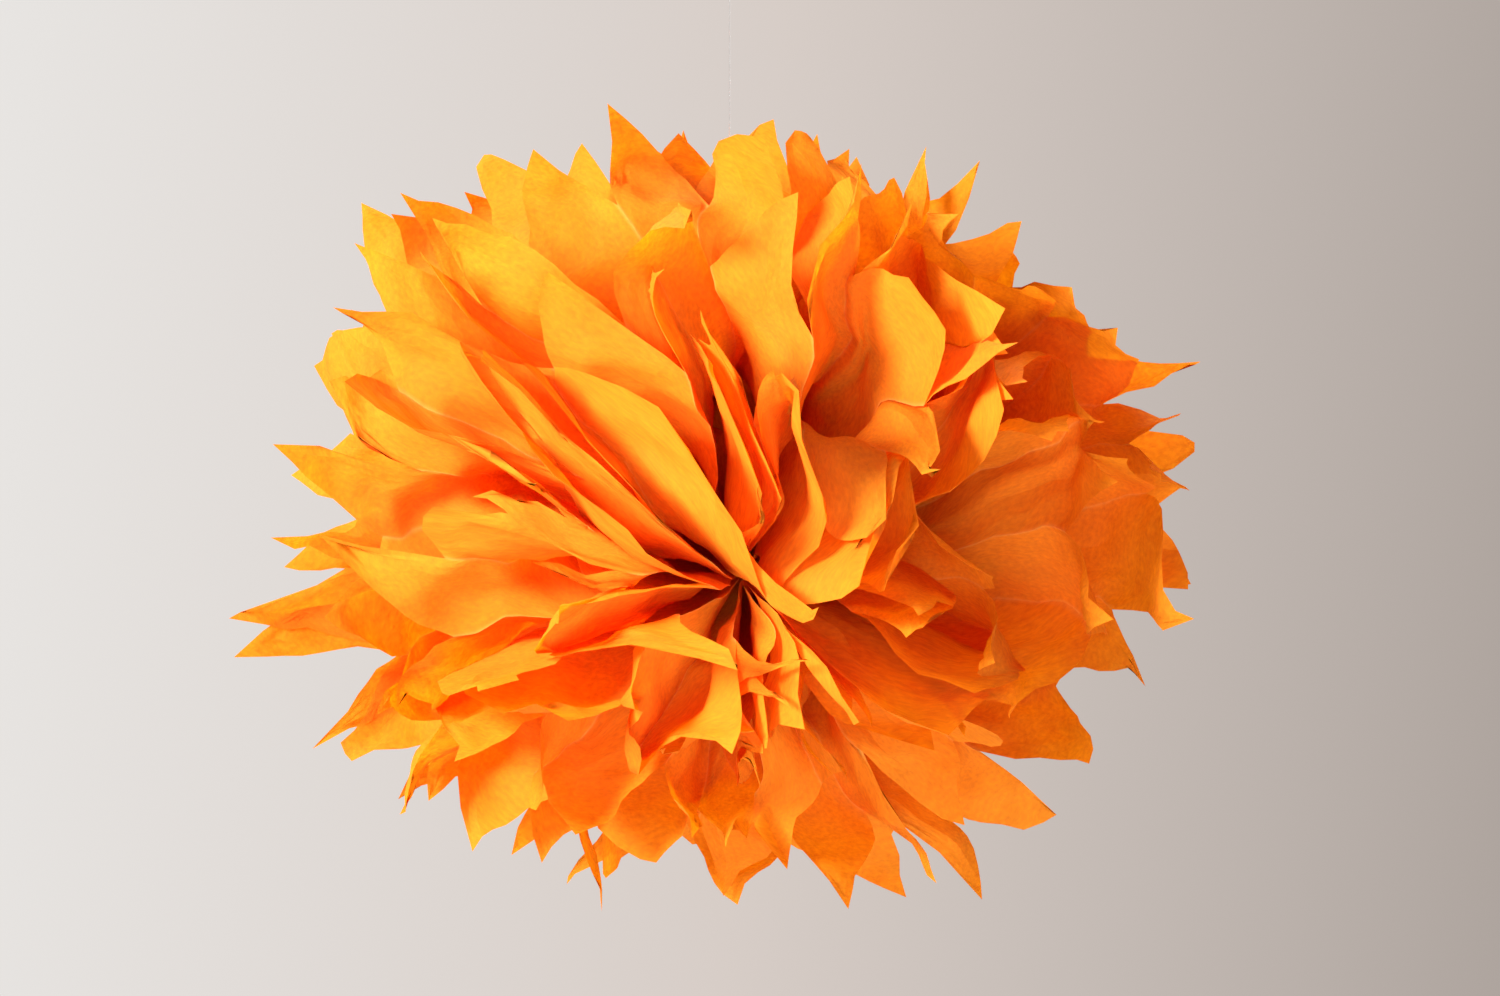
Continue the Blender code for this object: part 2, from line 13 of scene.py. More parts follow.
import bmesh
import bpy
import numpy as np
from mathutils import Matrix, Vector


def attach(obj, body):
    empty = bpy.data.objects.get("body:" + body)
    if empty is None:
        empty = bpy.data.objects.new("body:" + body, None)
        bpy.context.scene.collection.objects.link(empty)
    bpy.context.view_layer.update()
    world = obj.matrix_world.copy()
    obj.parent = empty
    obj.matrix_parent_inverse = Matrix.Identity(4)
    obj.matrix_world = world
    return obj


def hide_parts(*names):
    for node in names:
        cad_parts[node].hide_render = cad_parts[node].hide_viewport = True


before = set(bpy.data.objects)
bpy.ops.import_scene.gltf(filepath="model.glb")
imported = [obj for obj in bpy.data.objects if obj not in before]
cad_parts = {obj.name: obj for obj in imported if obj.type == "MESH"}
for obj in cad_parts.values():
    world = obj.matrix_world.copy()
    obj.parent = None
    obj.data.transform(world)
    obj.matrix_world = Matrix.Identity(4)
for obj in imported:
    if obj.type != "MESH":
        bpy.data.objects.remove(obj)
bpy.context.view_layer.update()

LOG = logging.getLogger("pom_pom")
BODY = "root"


class Fan(Enum):
    """The two ends of the folded strip, each opened into a half-round fan."""

    RIGHT = 1
    LEFT = -1


def eased(value: np.ndarray, start: float, end: float) -> np.ndarray:
    """Eased step from 0 at start to 1 at end.

    Args:
        value: Where to read the step.
        start: Last value that gives 0.
        end: First value that gives 1.

    Returns:
        The step's height at each value.
    """
    share = np.clip((np.asarray(value, float) - start) / (end - start), 0.0, 1.0)
    return share * share * (3 - 2 * share)


def unit(vectors: np.ndarray) -> np.ndarray:
    """Scale vectors, held in the last axis, to a length of one."""
    return vectors / np.maximum(np.linalg.norm(vectors, axis=-1, keepdims=True), 1e-12)


@dataclass(frozen=True)
class PaperCut:
    """One sheet of tissue as it is cut and folded.

    Attributes:
        pleats: Pleats across the sheet.
        pleat_width: Width of one pleat.
        strip_length: Length of the folded strip, from tip to tip.
        point_depth: Depth of the notch that trimming leaves at each fold.
        columns: Grid columns in one pleat.
        rows: Grid rows from the tie to a tip.
        even_rows: Rows, from the tie on, that lie at the same length in all columns.
        even_share: Share of the way to the tips at which those rows end.
    """

    pleats: int = 13
    pleat_width: float = 0.039
    strip_length: float = 0.381
    point_depth: float = 0.037
    columns: int = 12
    rows: int = 46
    even_rows: int = 32
    even_share: float = 32 / 44

    @property
    def flat_size(self) -> tuple[float, float]:
        """Width and length of the flat sheet."""
        return self.pleats * self.pleat_width, self.strip_length

    @property
    def flat_area(self) -> float:
        """Area of the sheet after its ends are trimmed to points."""
        width, length = self.flat_size
        return width * (length - self.point_depth)

    @property
    def notch(self) -> float:
        """Where the notches end, as a share of the way from the tie to the tips."""
        return 1 - self.point_depth / (self.strip_length / 2)


@dataclass(frozen=True)
class BallForm:
    """The outer form of the fluffed ball and the way that its sheets stand.

    Attributes:
        sheets: Sheets in all, half to the front and half to the back.
        reach: How far the tips reach to the sides, to the front and up.
        first_tilt: Angle of the first sheet from its pole, in degrees.
        last_tilt: Angle of the last sheet from its pole, in degrees.
        tie_height: Height of the tie in the model's frame.
        neck_radius: Radius of the gathered bundle in the tie.
        neck_half: Half of the length of the bundle.
        neck_pitch: Distance from sheet to sheet in the bundle.
        bend_share: Share of the way in which a sheet bends to its own direction.
        seed: Starts the random numbers.
    """

    sheets: int = 10
    reach: tuple[float, float, float] = (0.183, 0.150, 0.153)
    first_tilt: float = 13.5
    last_tilt: float = 83.0
    tie_height: float = -0.2533
    neck_radius: float = 0.0095
    neck_half: float = 0.004
    neck_pitch: float = 0.0017
    bend_share: float = 0.30
    seed: int = 2

    @property
    def mean_reach(self) -> float:
        """Mean of the three reaches, by which angles become lengths."""
        return sum(self.reach) / 3

    def base_tilts(self) -> np.ndarray:
        """Angle of every sheet from the front pole, front to back, in degrees."""
        front = np.linspace(self.first_tilt, self.last_tilt, self.sheets // 2)
        return np.concatenate([front, 180 - front[::-1]])

    def direction(self, azimuth: np.ndarray, tilt: np.ndarray) -> np.ndarray:
        """Unit vectors at an azimuth round the pole axis and a tilt from the front pole."""
        around, down = np.radians(azimuth), np.radians(tilt)
        return np.stack([np.sin(down) * np.cos(around), -np.cos(down), np.sin(down) * np.sin(around)], -1)

    def radius(self, outward: np.ndarray) -> np.ndarray:
        """How far the ball reaches along unit vectors."""
        return 1 / np.linalg.norm(outward / np.array(self.reach), axis=-1)


@dataclass(frozen=True)
class Openings:
    """How the pleats of one fan share out the half circle: some broad, the rest packed.

    Attributes:
        packed: Least and most weight of a packed pleat.
        broad: Least and most weight of a broad pleat.
        broad_share: Share of the half circle that the broad pleats would fill.
        fewest: Fewest broad pleats in a fan.
        edge: Least and most weight, as a share, that the outermost pleats keep.
        widest: Share of the pleat's width at which it is fully open.
        halvings: Rounds in which the scale of the weights is found.
    """

    packed: tuple[float, float] = (0.05, 0.3)
    broad: tuple[float, float] = (0.75, 1.0)
    broad_share: float = 0.85
    fewest: int = 3
    edge: tuple[float, float] = (0.15, 0.8)
    widest: float = 0.97
    halvings: int = 30


@dataclass(frozen=True)
class Wander:
    """How the folds wander over the ball: angles in degrees, spans as shares of the strip.

    Attributes:
        edge: Azimuth of a fan's outermost folds.
        edge_shift: Most that the outermost folds of a sheet are turned by.
        waist: Share of its spread that a fan has at the tie.
        waist_span: Span over which it opens from there.
        own_span: Span over which a sheet leaves the folding that all share.
        evened: Least and most share of an even pleat in that folding.
        least_step: Least azimuth from a fold to the next.
        neck: Share of the strip below which angles stay as they are at it.
        closed: Most that half a pleat may take up.
        pole_room: Room from there to the pole.
        steepest: Most that a fold stands out in the folding that all share.
        zigzag_span: Span over which the folds start to stand out.
        bend: Height of the bends that all sheets share.
        bend_cycle: Length of one such bend.
        bend_turn: How far the bends are out of step from fold to fold, in radians.
        bend_span: Span over which they start.
        sway: Wander in azimuth, at the tips and half way.
        drift: Wander in tilt, at the tips and half way.
        outer_span: Span over which the wander at the tips starts.
        lean: Scatter of the single folds' lean at the tips.
        curl: Wave and scatter of the tips' curl, and its mean.
        curl_span: Span over which it starts.
        pole_curl: How much more the tips near the poles curl.
        pole_curl_ends: Tilt at which that has ended.
        outward_curl: Mean curl, more, of the sheets near the poles.
    """

    edge: float = 89.2
    edge_shift: float = 14.0
    waist: float = 0.4
    waist_span: tuple[float, float] = (0.0, 0.45)
    own_span: tuple[float, float] = (0.45, 1.0)
    evened: tuple[float, float] = (0.8, 1.2)
    least_step: float = 0.5
    neck: float = 0.08
    closed: float = 33.0
    pole_room: float = 7.0
    steepest: float = 40.0
    zigzag_span: tuple[float, float] = (0.04, 0.2)
    bend: float = 9.0
    bend_cycle: float = 0.68
    bend_turn: float = 2.2
    bend_span: tuple[float, float] = (0.12, 0.45)
    sway: tuple[float, float] = (6.0, 4.0)
    drift: tuple[float, float] = (8.0, 4.0)
    outer_span: tuple[float, float] = (0.25, 1.0)
    lean: float = 2.5
    curl: tuple[float, float, float] = (7.0, 4.0, 1.0)
    curl_span: tuple[float, float] = (0.5, 1.0)
    pole_curl: float = 2.4
    pole_curl_ends: float = 75.0
    outward_curl: float = 6.0


@dataclass(frozen=True)
class Bow:
    """How a pleat bows or creases between its folds.

    Attributes:
        share: How much of its spare width a pleat turns into a bow.
        creased: Share of the pleats whose bow is a crease.
        crease_from_fold: Least columns from a crease to the folds beside it.
        size: Least and most share of that bow.
        deepest: Deepest bow, as a share of the pleat's breadth.
        arch: How deep spare width makes a bow.
        least: Bow of a pleat with no spare width, as a share of its breadth.
        span: Span over which the bows start.
        flatter: How much flatter they are at the tips.
        flatter_span: Span over which they flatten.
        aside: Most that a bow leans over its fold.
        tip: Scatter of the tips' own bow, in degrees.
        tip_span: Span over which that starts.
        tip_power: How late it starts.
        off_pole: Tilt to which the pleats' breadth is read near a pole, in degrees.
    """

    share: float = 0.45
    creased: float = 0.6
    crease_from_fold: int = 4
    size: tuple[float, float] = (0.6, 1.2)
    deepest: float = 0.25
    arch: float = 0.375
    least: float = 0.02
    span: tuple[float, float] = (0.05, 0.3)
    flatter: float = 0.6
    flatter_span: tuple[float, float] = (0.75, 1.0)
    aside: float = 0.2
    tip: float = 1.5
    tip_span: tuple[float, float] = (0.6, 1.0)
    tip_power: float = 1.5
    off_pole: float = 6.0


@dataclass(frozen=True)
class Parting:
    """How touching sheets are moved apart.

    Attributes:
        gap: Least distance from sheet to sheet.
        half_gap: Least distance of the two middle sheets from the plane of the line.
        line_room: How far they may lean over that plane away from the line, in degrees.
        line_span: Azimuths from the line between which that room opens.
        neck: Share of the strip below which gaps stay as they are at it.
        pole: Least tilt from a pole, in degrees.
        pole_ease: Tilt below which the folds ease off the pole.
        rounds: Most rounds of parting in one step.
        settled: Share of the gap at which a step has settled.
    """

    gap: float = 0.0008
    half_gap: float = 0.0016
    line_room: float = 60.0
    line_span: tuple[float, float] = (8.0, 30.0)
    neck: float = 0.10
    pole: float = 2.0
    pole_ease: float = 9.0
    rounds: int = 60
    settled: float = 0.2


@dataclass
class Layout:
    """The folds of all sheets as angles, on a lattice of columns by steps along the strip.

    Attributes:
        cut: The paper.
        form: The ball.
        steps: Steps along the strip, from the tie to the tips.
        fullness: How wide the pleats of the front, middle and back sheets are laid, as shares.
        openings: How the pleats share out the half circle.
        wander: How the folds wander.
        bow: How the pleats bow.
        parting: How the sheets are kept apart.
    """

    cut: PaperCut
    form: BallForm
    steps: int = 45
    fullness: tuple[float, float, float] = (1.5, 1.35, 2.0)
    openings: Openings = Openings()
    wander: Wander = Wander()
    bow: Bow = Bow()
    parting: Parting = Parting()
    azimuth: np.ndarray = field(init=False)
    tilt: np.ndarray = field(init=False)
    crease: np.ndarray = field(init=False)

    def __post_init__(self) -> None:
        """Draw the folds, add the curve of each pleat and part the sheets."""
        self.draw = np.random.default_rng(self.form.seed)
        self.share = np.linspace(0.0, 1.0, self.steps)
        self._lay_folds()
        self._bow_pleats()
        self._part_sheets()

    def _wave(self, count: int, cycles: float) -> np.ndarray:
        """Draw a slow random wave over a number of folds.

        Args:
            count: How many folds there are.
            cycles: How often the wave goes up and down over them.

        Returns:
            One value for each fold, between about -1 and 1.
        """
        spot = 2 * math.pi * np.arange(count) / count
        first, second = self.draw.uniform(0, 2 * math.pi, 2)
        return 0.6 * np.sin(cycles * spot + first) + 0.4 * np.sin((2 * cycles + 1) * spot + second)

    def _openings(self, arc: float) -> np.ndarray:
        """Share out one half circle between its pleats.

        Args:
            arc: Length of the half circle at the tips.

        Returns:
            The folds as shares of the way round, from 0 to 1.
        """
        pleats, width, ways = self.cut.pleats, self.cut.pleat_width, self.openings
        weights = self.draw.uniform(*ways.packed, pleats)
        broad = min(pleats, max(ways.fewest, round(ways.broad_share * arc / width)))
        weights[self.draw.permutation(pleats)[:broad]] = self.draw.uniform(*ways.broad, broad)
        weights[[0, -1]] *= self.draw.uniform(*ways.edge, 2)
        least, most = 0.0, 1.0
        for _ in range(ways.halvings):
            scale = (least + most) / 2
            if np.minimum(ways.widest * width, scale * weights).sum() < arc:
                least = scale
            else:
                most = scale
        opened = np.minimum(ways.widest * width, scale * weights)
        return np.concatenate([[0], np.cumsum(opened)]) / opened.sum()

    def _stand(self, sheet: int, closed: np.ndarray) -> np.ndarray:
        """Tilt of a sheet from the front pole, in degrees, along the strip.

        Args:
            sheet: The sheet, counted from the front.
            closed: Tilt that half a pleat takes up.

        Returns:
            The tilt at each step, moved away from the pole where the pleats need the room.
        """
        first, last = self.form.first_tilt, self.form.last_tilt
        tilt = self.form.base_tilts()[sheet]
        pole = min(tilt, 180 - tilt)
        nearest = np.maximum(first, closed + self.wander.pole_room)
        stand = nearest + (last - nearest) * (pole - first) / (last - first)
        return stand if sheet < self.form.sheets // 2 else 180 - stand

    def _lay_folds(self) -> None:
        """Azimuth and tilt of every fold of every fan at every step along the strip."""
        pleats, folds = self.cut.pleats, self.cut.pleats + 1
        sheets, draw, wander = self.form.sheets, self.draw, self.wander
        first, last = self.form.first_tilt, self.form.last_tilt
        self.fold_azimuth = np.zeros((sheets, 2, self.steps, folds))
        self.fold_tilt = np.zeros((sheets, 2, self.steps, folds))
        tilts = self.form.base_tilts()
        share = self.share[:, None]
        radius = self.form.mean_reach * np.maximum(share, wander.neck)
        closed = np.minimum(wander.closed, np.degrees(0.5 * self.cut.pleat_width / radius))
        outer, middle = eased(share, *wander.outer_span), np.sin(math.pi * share)
        flare = wander.waist + (1 - wander.waist) * eased(share, *wander.waist_span)
        own_way = eased(share, *wander.own_span)
        evened = [np.cumsum(np.concatenate([[0], draw.uniform(*wander.evened, pleats)])) for _ in Fan]
        signs = [draw.choice([-1, 1]) for _ in Fan]
        cycles = 2 * math.pi * share / wander.bend_cycle
        bends = [
            wander.bend
            * np.sin(cycles + wander.bend_turn * self._wave(folds, 1))
            * eased(share, *wander.bend_span)
            for _ in Fan
        ]
        spread = np.sin(math.pi * np.arange(folds) / pleats)
        for sheet in range(sheets):
            pole = min(tilts[sheet], 180 - tilts[sheet])
            to_pole = (last - pole) / (last - first)
            stand = self._stand(sheet, closed)
            towards = 1 if sheet < sheets // 2 else -1
            at_pole = self.fullness[0] if towards > 0 else self.fullness[2]
            width = at_pole + (self.fullness[1] - at_pole) * eased(pole, first, last)
            width = self.cut.pleat_width * width
            shift = draw.uniform(-wander.edge_shift, wander.edge_shift, 2)
            arc = math.pi * self.form.mean_reach * math.sin(math.radians(pole))
            for side, fan in enumerate(Fan):
                common = evened[side] / evened[side][-1]
                edges = common * (1 - own_way) + self._openings(arc) * own_way
                top = wander.edge + fan.value * shift[0]
                bottom = -wander.edge + fan.value * shift[1]
                azimuth = (bottom + (top - bottom) * edges) * flare
                sway = wander.sway[0] * self._wave(folds, 2) * outer
                sway = sway + wander.sway[1] * self._wave(folds, 3) * middle * own_way
                azimuth = self._in_order(azimuth + sway * spread)
                across = np.radians(np.diff(azimuth, axis=1)) * radius * np.sin(np.radians(stand))
                rise = np.sqrt(np.maximum(0.0, width**2 - across**2))
                path = self._to_and_fro(np.degrees(rise[-1] / radius[-1]), signs[side])
                rise = np.concatenate([rise[:, :1], (rise[:, 1:] + rise[:, :-1]) / 2, rise[:, -1:]], axis=1)
                zigzag = np.degrees(rise / radius) / 2 * signs[side] * (-1.0) ** np.arange(folds)
                zigzag = wander.steepest * np.tanh(zigzag / wander.steepest)
                zigzag = zigzag * (1 - own_way) + path * own_way
                zigzag = zigzag * eased(share, *wander.zigzag_span)
                wave, scatter, mean = wander.curl
                curl = wave * self._wave(folds, 3) + draw.normal(0, scatter, folds)
                curl = curl * (1 + wander.pole_curl * (1 - eased(pole, first, wander.pole_curl_ends)))
                curl = curl + wander.outward_curl * to_pole + mean
                curl = towards * curl * eased(share, *wander.curl_span)
                lean = draw.normal(0, wander.lean, folds) * outer
                drift = wander.drift[0] * self._wave(folds, 2) * outer
                drift = drift + wander.drift[1] * self._wave(folds, 2) * middle
                self.fold_azimuth[sheet, side] = azimuth
                self.fold_tilt[sheet, side] = stand + zigzag + lean + drift + bends[side] + curl

    def _to_and_fro(self, rises: np.ndarray, sign: int) -> np.ndarray:
        """Heights of the folds of one fan: each pleat climbs or drops by its own rise.

        Args:
            rises: The pleats' rises, in degrees.
            sign: Side of the first fold.

        Returns:
            The folds' heights, with a mean of zero.
        """
        heights = [sign * rises[0] / 2]
        for rise in rises:
            heights.append(heights[-1] - math.copysign(rise, heights[-1]))
        return np.array(heights) - np.mean(heights)

    def _in_order(self, azimuth: np.ndarray) -> np.ndarray:
        """Keep the folds of a fan in their order, with a least angle from each to the next.

        Args:
            azimuth: The folds' azimuths, one column for each fold.

        Returns:
            The azimuths, moved on where they came too close.
        """
        for fold in range(1, azimuth.shape[1]):
            before = azimuth[:, fold - 1] + self.wander.least_step
            azimuth[:, fold] = np.maximum(azimuth[:, fold], before)
        return azimuth

    def _bow_pleats(self) -> None:
        """Fill the columns between the folds, with each pleat bowed as its spare width lets it."""
        columns, pleats, bow = self.cut.columns, self.cut.pleats, self.bow
        sheets, draw, table = self.form.sheets, self.draw, (self.form.sheets, 2, self.cut.pleats)
        self.azimuth = np.zeros((sheets, 2, self.steps, pleats * columns + 1))
        self.tilt = np.zeros_like(self.azimuth)
        share = self.share[:, None]
        bows = draw.choice([1, 1, 1, -1], table) * draw.uniform(*bow.size, table)
        bows[sheets // 2 :] *= -1
        tips = draw.normal(0, bow.tip, table)
        off_fold = bow.crease_from_fold
        spots = np.random.default_rng(self.form.seed + 50).integers(off_fold, columns + 1 - off_fold, table)
        creased = np.random.default_rng(self.form.seed + 51).random(table) < bow.creased
        self.crease = np.where(creased, spots, 0)
        radius = self.form.mean_reach * np.maximum(share, self.wander.neck)
        bowed = eased(share, *bow.span) * (1 - bow.flatter * eased(share, *bow.flatter_span))
        tipped = eased(share, *bow.tip_span) ** bow.tip_power
        for sheet in range(sheets):
            for side in range(2):
                folds, tilts = self.fold_azimuth[sheet, side], self.fold_tilt[sheet, side]
                mid_tilt = (tilts[:, 1:] + tilts[:, :-1]) / 2
                squash = np.sin(np.radians(np.clip(mid_tilt, bow.off_pole, 180 - bow.off_pole)))
                step = np.diff(folds, axis=1)
                across = np.radians(step) * radius * squash
                rise = np.radians(np.diff(tilts, axis=1)) * radius
                chord = np.hypot(across, rise)
                spare = np.maximum(0.0, self.cut.pleat_width - chord)
                sag = np.sqrt(bow.arch * self.cut.pleat_width * spare)
                sag = np.minimum(bow.deepest * chord, sag) + bow.least * chord
                sag = sag * bow.share * bows[sheet, side] * bowed
                aside = np.clip(-sag * rise / chord / np.maximum(across, 1e-6), -bow.aside, bow.aside)
                down = np.degrees(sag * across / chord / radius) + tips[sheet, side] * tipped
                self._fill_pleats(sheet, side, aside, down)
        self.tilt = self._off_poles(self.tilt)

    def _fill_pleats(self, sheet: int, side: int, aside: np.ndarray, down: np.ndarray) -> None:
        """Fill in the columns of one fan.

        Args:
            sheet: The sheet, counted from the front.
            side: 0 for the right fan and 1 for the left one.
            aside: How far each pleat's bow leans over, as a share of its azimuth.
            down: How deep it is, in degrees.
        """
        columns = self.cut.columns
        part = np.arange(columns) / columns
        folds, tilts = self.fold_azimuth[sheet, side], self.fold_tilt[sheet, side]
        for pleat in range(self.cut.pleats):
            apex = self.crease[sheet, side, pleat] / columns
            arc = np.minimum(part / apex, (1 - part) / (1 - apex)) if apex else 4 * part * (1 - part)
            here = slice(pleat * columns, (pleat + 1) * columns)
            around, tilt = folds[:, pleat, None], tilts[:, pleat, None]
            leaned = part + aside[:, pleat, None] * arc
            self.azimuth[sheet, side, :, here] = around + (folds[:, pleat + 1, None] - around) * leaned
            rise = (tilts[:, pleat + 1, None] - tilt) * part
            self.tilt[sheet, side, :, here] = tilt + rise + down[:, pleat, None] * arc
        self.azimuth[sheet, side, :, -1] = folds[:, -1]
        self.tilt[sheet, side, :, -1] = tilts[:, -1]

    def _off_poles(self, tilt: np.ndarray) -> np.ndarray:
        """Ease angles away from the front and back poles.

        Args:
            tilt: Angles from the front pole, in degrees.

        Returns:
            The angles, none of them at a pole.
        """
        ease = self.parting.pole_ease
        near = np.where(tilt < ease, ease * np.exp((np.minimum(tilt, ease) - ease) / ease), tilt)
        far = 180 - near
        return np.where(far < ease, 180 - ease * np.exp((np.minimum(far, ease) - ease) / ease), near)

    def _part_sheets(self) -> None:
        """Move touching sheets apart, step by step along the strip."""
        columns, sheets, parting = self.azimuth.shape[-1], self.form.sheets, self.parting
        middle = sheets // 2
        for step in range(2, self.steps):
            around = [
                np.concatenate([self.azimuth[s, 0, step], 180 - self.azimuth[s, 1, step, ::-1]])
                for s in range(sheets)
            ]
            tilt = [
                np.concatenate([self.tilt[s, 0, step], self.tilt[s, 1, step, ::-1]]) for s in range(sheets)
            ]
            length = self.form.mean_reach * max(self.share[step], parting.neck)
            gap, clear = math.degrees(parting.gap / length), math.degrees(parting.half_gap / length)
            room = [
                parting.line_room * eased(np.abs(azimuth - 90), *parting.line_span) - clear
                for azimuth in around[middle - 1 : middle + 1]
            ]
            for _ in range(parting.rounds):
                worst = 0.0
                for s in range(sheets - 1):
                    ahead = np.interp(around[s], around[s + 1], tilt[s + 1], period=360)
                    behind = np.interp(around[s + 1], around[s], tilt[s], period=360)
                    near = np.maximum(0.0, gap + tilt[s] - ahead)
                    far = np.maximum(0.0, gap + behind - tilt[s + 1])
                    worst = max(worst, near.max(), far.max())
                    tilt[s] -= near / 2
                    tilt[s + 1] += far / 2
                tilt[middle - 1] = np.minimum(tilt[middle - 1], 90 + room[0])
                tilt[middle] = np.maximum(tilt[middle], 90 - room[1])
                tilt[0] = np.maximum(tilt[0], parting.pole)
                tilt[-1] = np.minimum(tilt[-1], 180 - parting.pole)
                if worst < parting.settled * gap:
                    break
            for s in range(sheets):
                self.tilt[s, 0, step] = tilt[s][:columns]
                self.tilt[s, 1, step] = tilt[s][columns:][::-1]


@dataclass(frozen=True)
class TipRoll:
    """How some of the tips are rolled over.

    Attributes:
        share: Share of the tips that are rolled.
        start: Least and most share of the strip at which a roll starts.
        slant: Most that its line slants across the pleat.
        radius: Least and most radius of a roll.
        outwards: Share of the rolls that turn away from the pole.
        most: Most that a tip turns, in radians.
        flat: Radius of a tip that isn't rolled.
        seed: Starts the random numbers.
    """

    share: float = 0.26
    start: tuple[float, float] = (0.86, 0.96)
    slant: float = 0.10
    radius: tuple[float, float] = (0.012, 0.045)
    outwards: float = 0.7
    most: float = 2.6
    flat: float = 1.0
    seed: int = 500


@dataclass
class SheetShape:
    """Turns the layout's angles into the places of one sheet's grid points.

    Attributes:
        layout: Where all sheets lie.
        number: The sheet's place from front to back, from 0.
        roll: How its tips are rolled over.
        neck_room: Room between the gathered pleats and the tie.
    """

    layout: Layout
    number: int
    roll: TipRoll = TipRoll()
    neck_room: float = 0.0007

    def rolled(self, side: int, share: np.ndarray, column: np.ndarray) -> tuple[np.ndarray, np.ndarray]:
        """Roll some of the tips over, each on its own slanted line.

        Args:
            side: 0 for the right fan and 1 for the left one.
            share: Share of the way from the tie to the longest tip.
            column: Column across the sheet.

        Returns:
            The share that is reached, and the change of tilt in degrees.
        """
        cut, roll = self.layout.cut, self.roll
        draw = np.random.default_rng(roll.seed + 2 * self.number + side)
        pleats = cut.pleats
        start = draw.uniform(*roll.start, pleats)
        slant = draw.uniform(-roll.slant, roll.slant, pleats)
        bend = np.where(draw.random(pleats) < roll.share, draw.uniform(*roll.radius, pleats), roll.flat)
        way = np.where(draw.random(pleats) < roll.outwards, 1.0, -1.0)
        pleat = np.minimum(column // cut.columns, pleats - 1)
        part = column / cut.columns - pleat
        first = start[pleat] + slant[pleat] * (part - 0.5)
        scale = self.layout.form.mean_reach
        over = np.maximum(0.0, share - first) * scale
        turn = np.minimum(over / bend[pleat], roll.most)
        reached = np.minimum(share, first) + bend[pleat] * np.sin(turn) / scale
        aside = bend[pleat] * (1 - np.cos(turn)) * way[pleat]
        towards = 1 if self.number < self.layout.form.sheets // 2 else -1
        length = scale * np.maximum(reached, self.layout.form.bend_share)
        return reached, towards * np.degrees(aside / length)

    def place(self, side: int, share: np.ndarray, column: np.ndarray) -> np.ndarray:
        """Places on one fan of the sheet.

        Args:
            side: 0 for the right fan and 1 for the left one.
            share: Share of the way from the tie to the longest tip.
            column: Column across the sheet.

        Returns:
            The points, in metres from the tie.
        """
        form, layout = self.layout.form, self.layout
        spot = np.clip(share, 0, 1) * (layout.steps - 1)
        low = np.minimum(spot.astype(int), layout.steps - 2)
        part = spot - low
        angles = []
        for table in (layout.azimuth, layout.tilt):
            rows = table[self.number, side]
            angles.append(rows[low, column] * (1 - part) + rows[low + 1, column] * part)
        azimuth, tilt = angles
        share, turned = self.rolled(side, share, column)
        tilt = tilt + turned
        if side:
            azimuth = 180 - azimuth
        outward = form.direction(azimuth, tilt)
        bend = eased(share, 0.0, form.bend_share)[..., None]
        start = np.array([1.0 - 2 * side, 0.0, 0.0])
        along = unit(start * (1 - bend) + outward * bend)
        depth = (self.number - (form.sheets - 1) / 2) * form.neck_pitch
        half = math.sqrt(form.neck_radius**2 - depth**2) - self.neck_room
        count = layout.azimuth.shape[-1] - 1
        neck = np.stack(
            [
                np.full(share.shape, start[0] * form.neck_half),
                np.full(share.shape, depth),
                half * (2 * column / count - 1),
            ],
            -1,
        )
        return neck * (1 - bend) + along * (form.radius(outward) * share)[..., None]


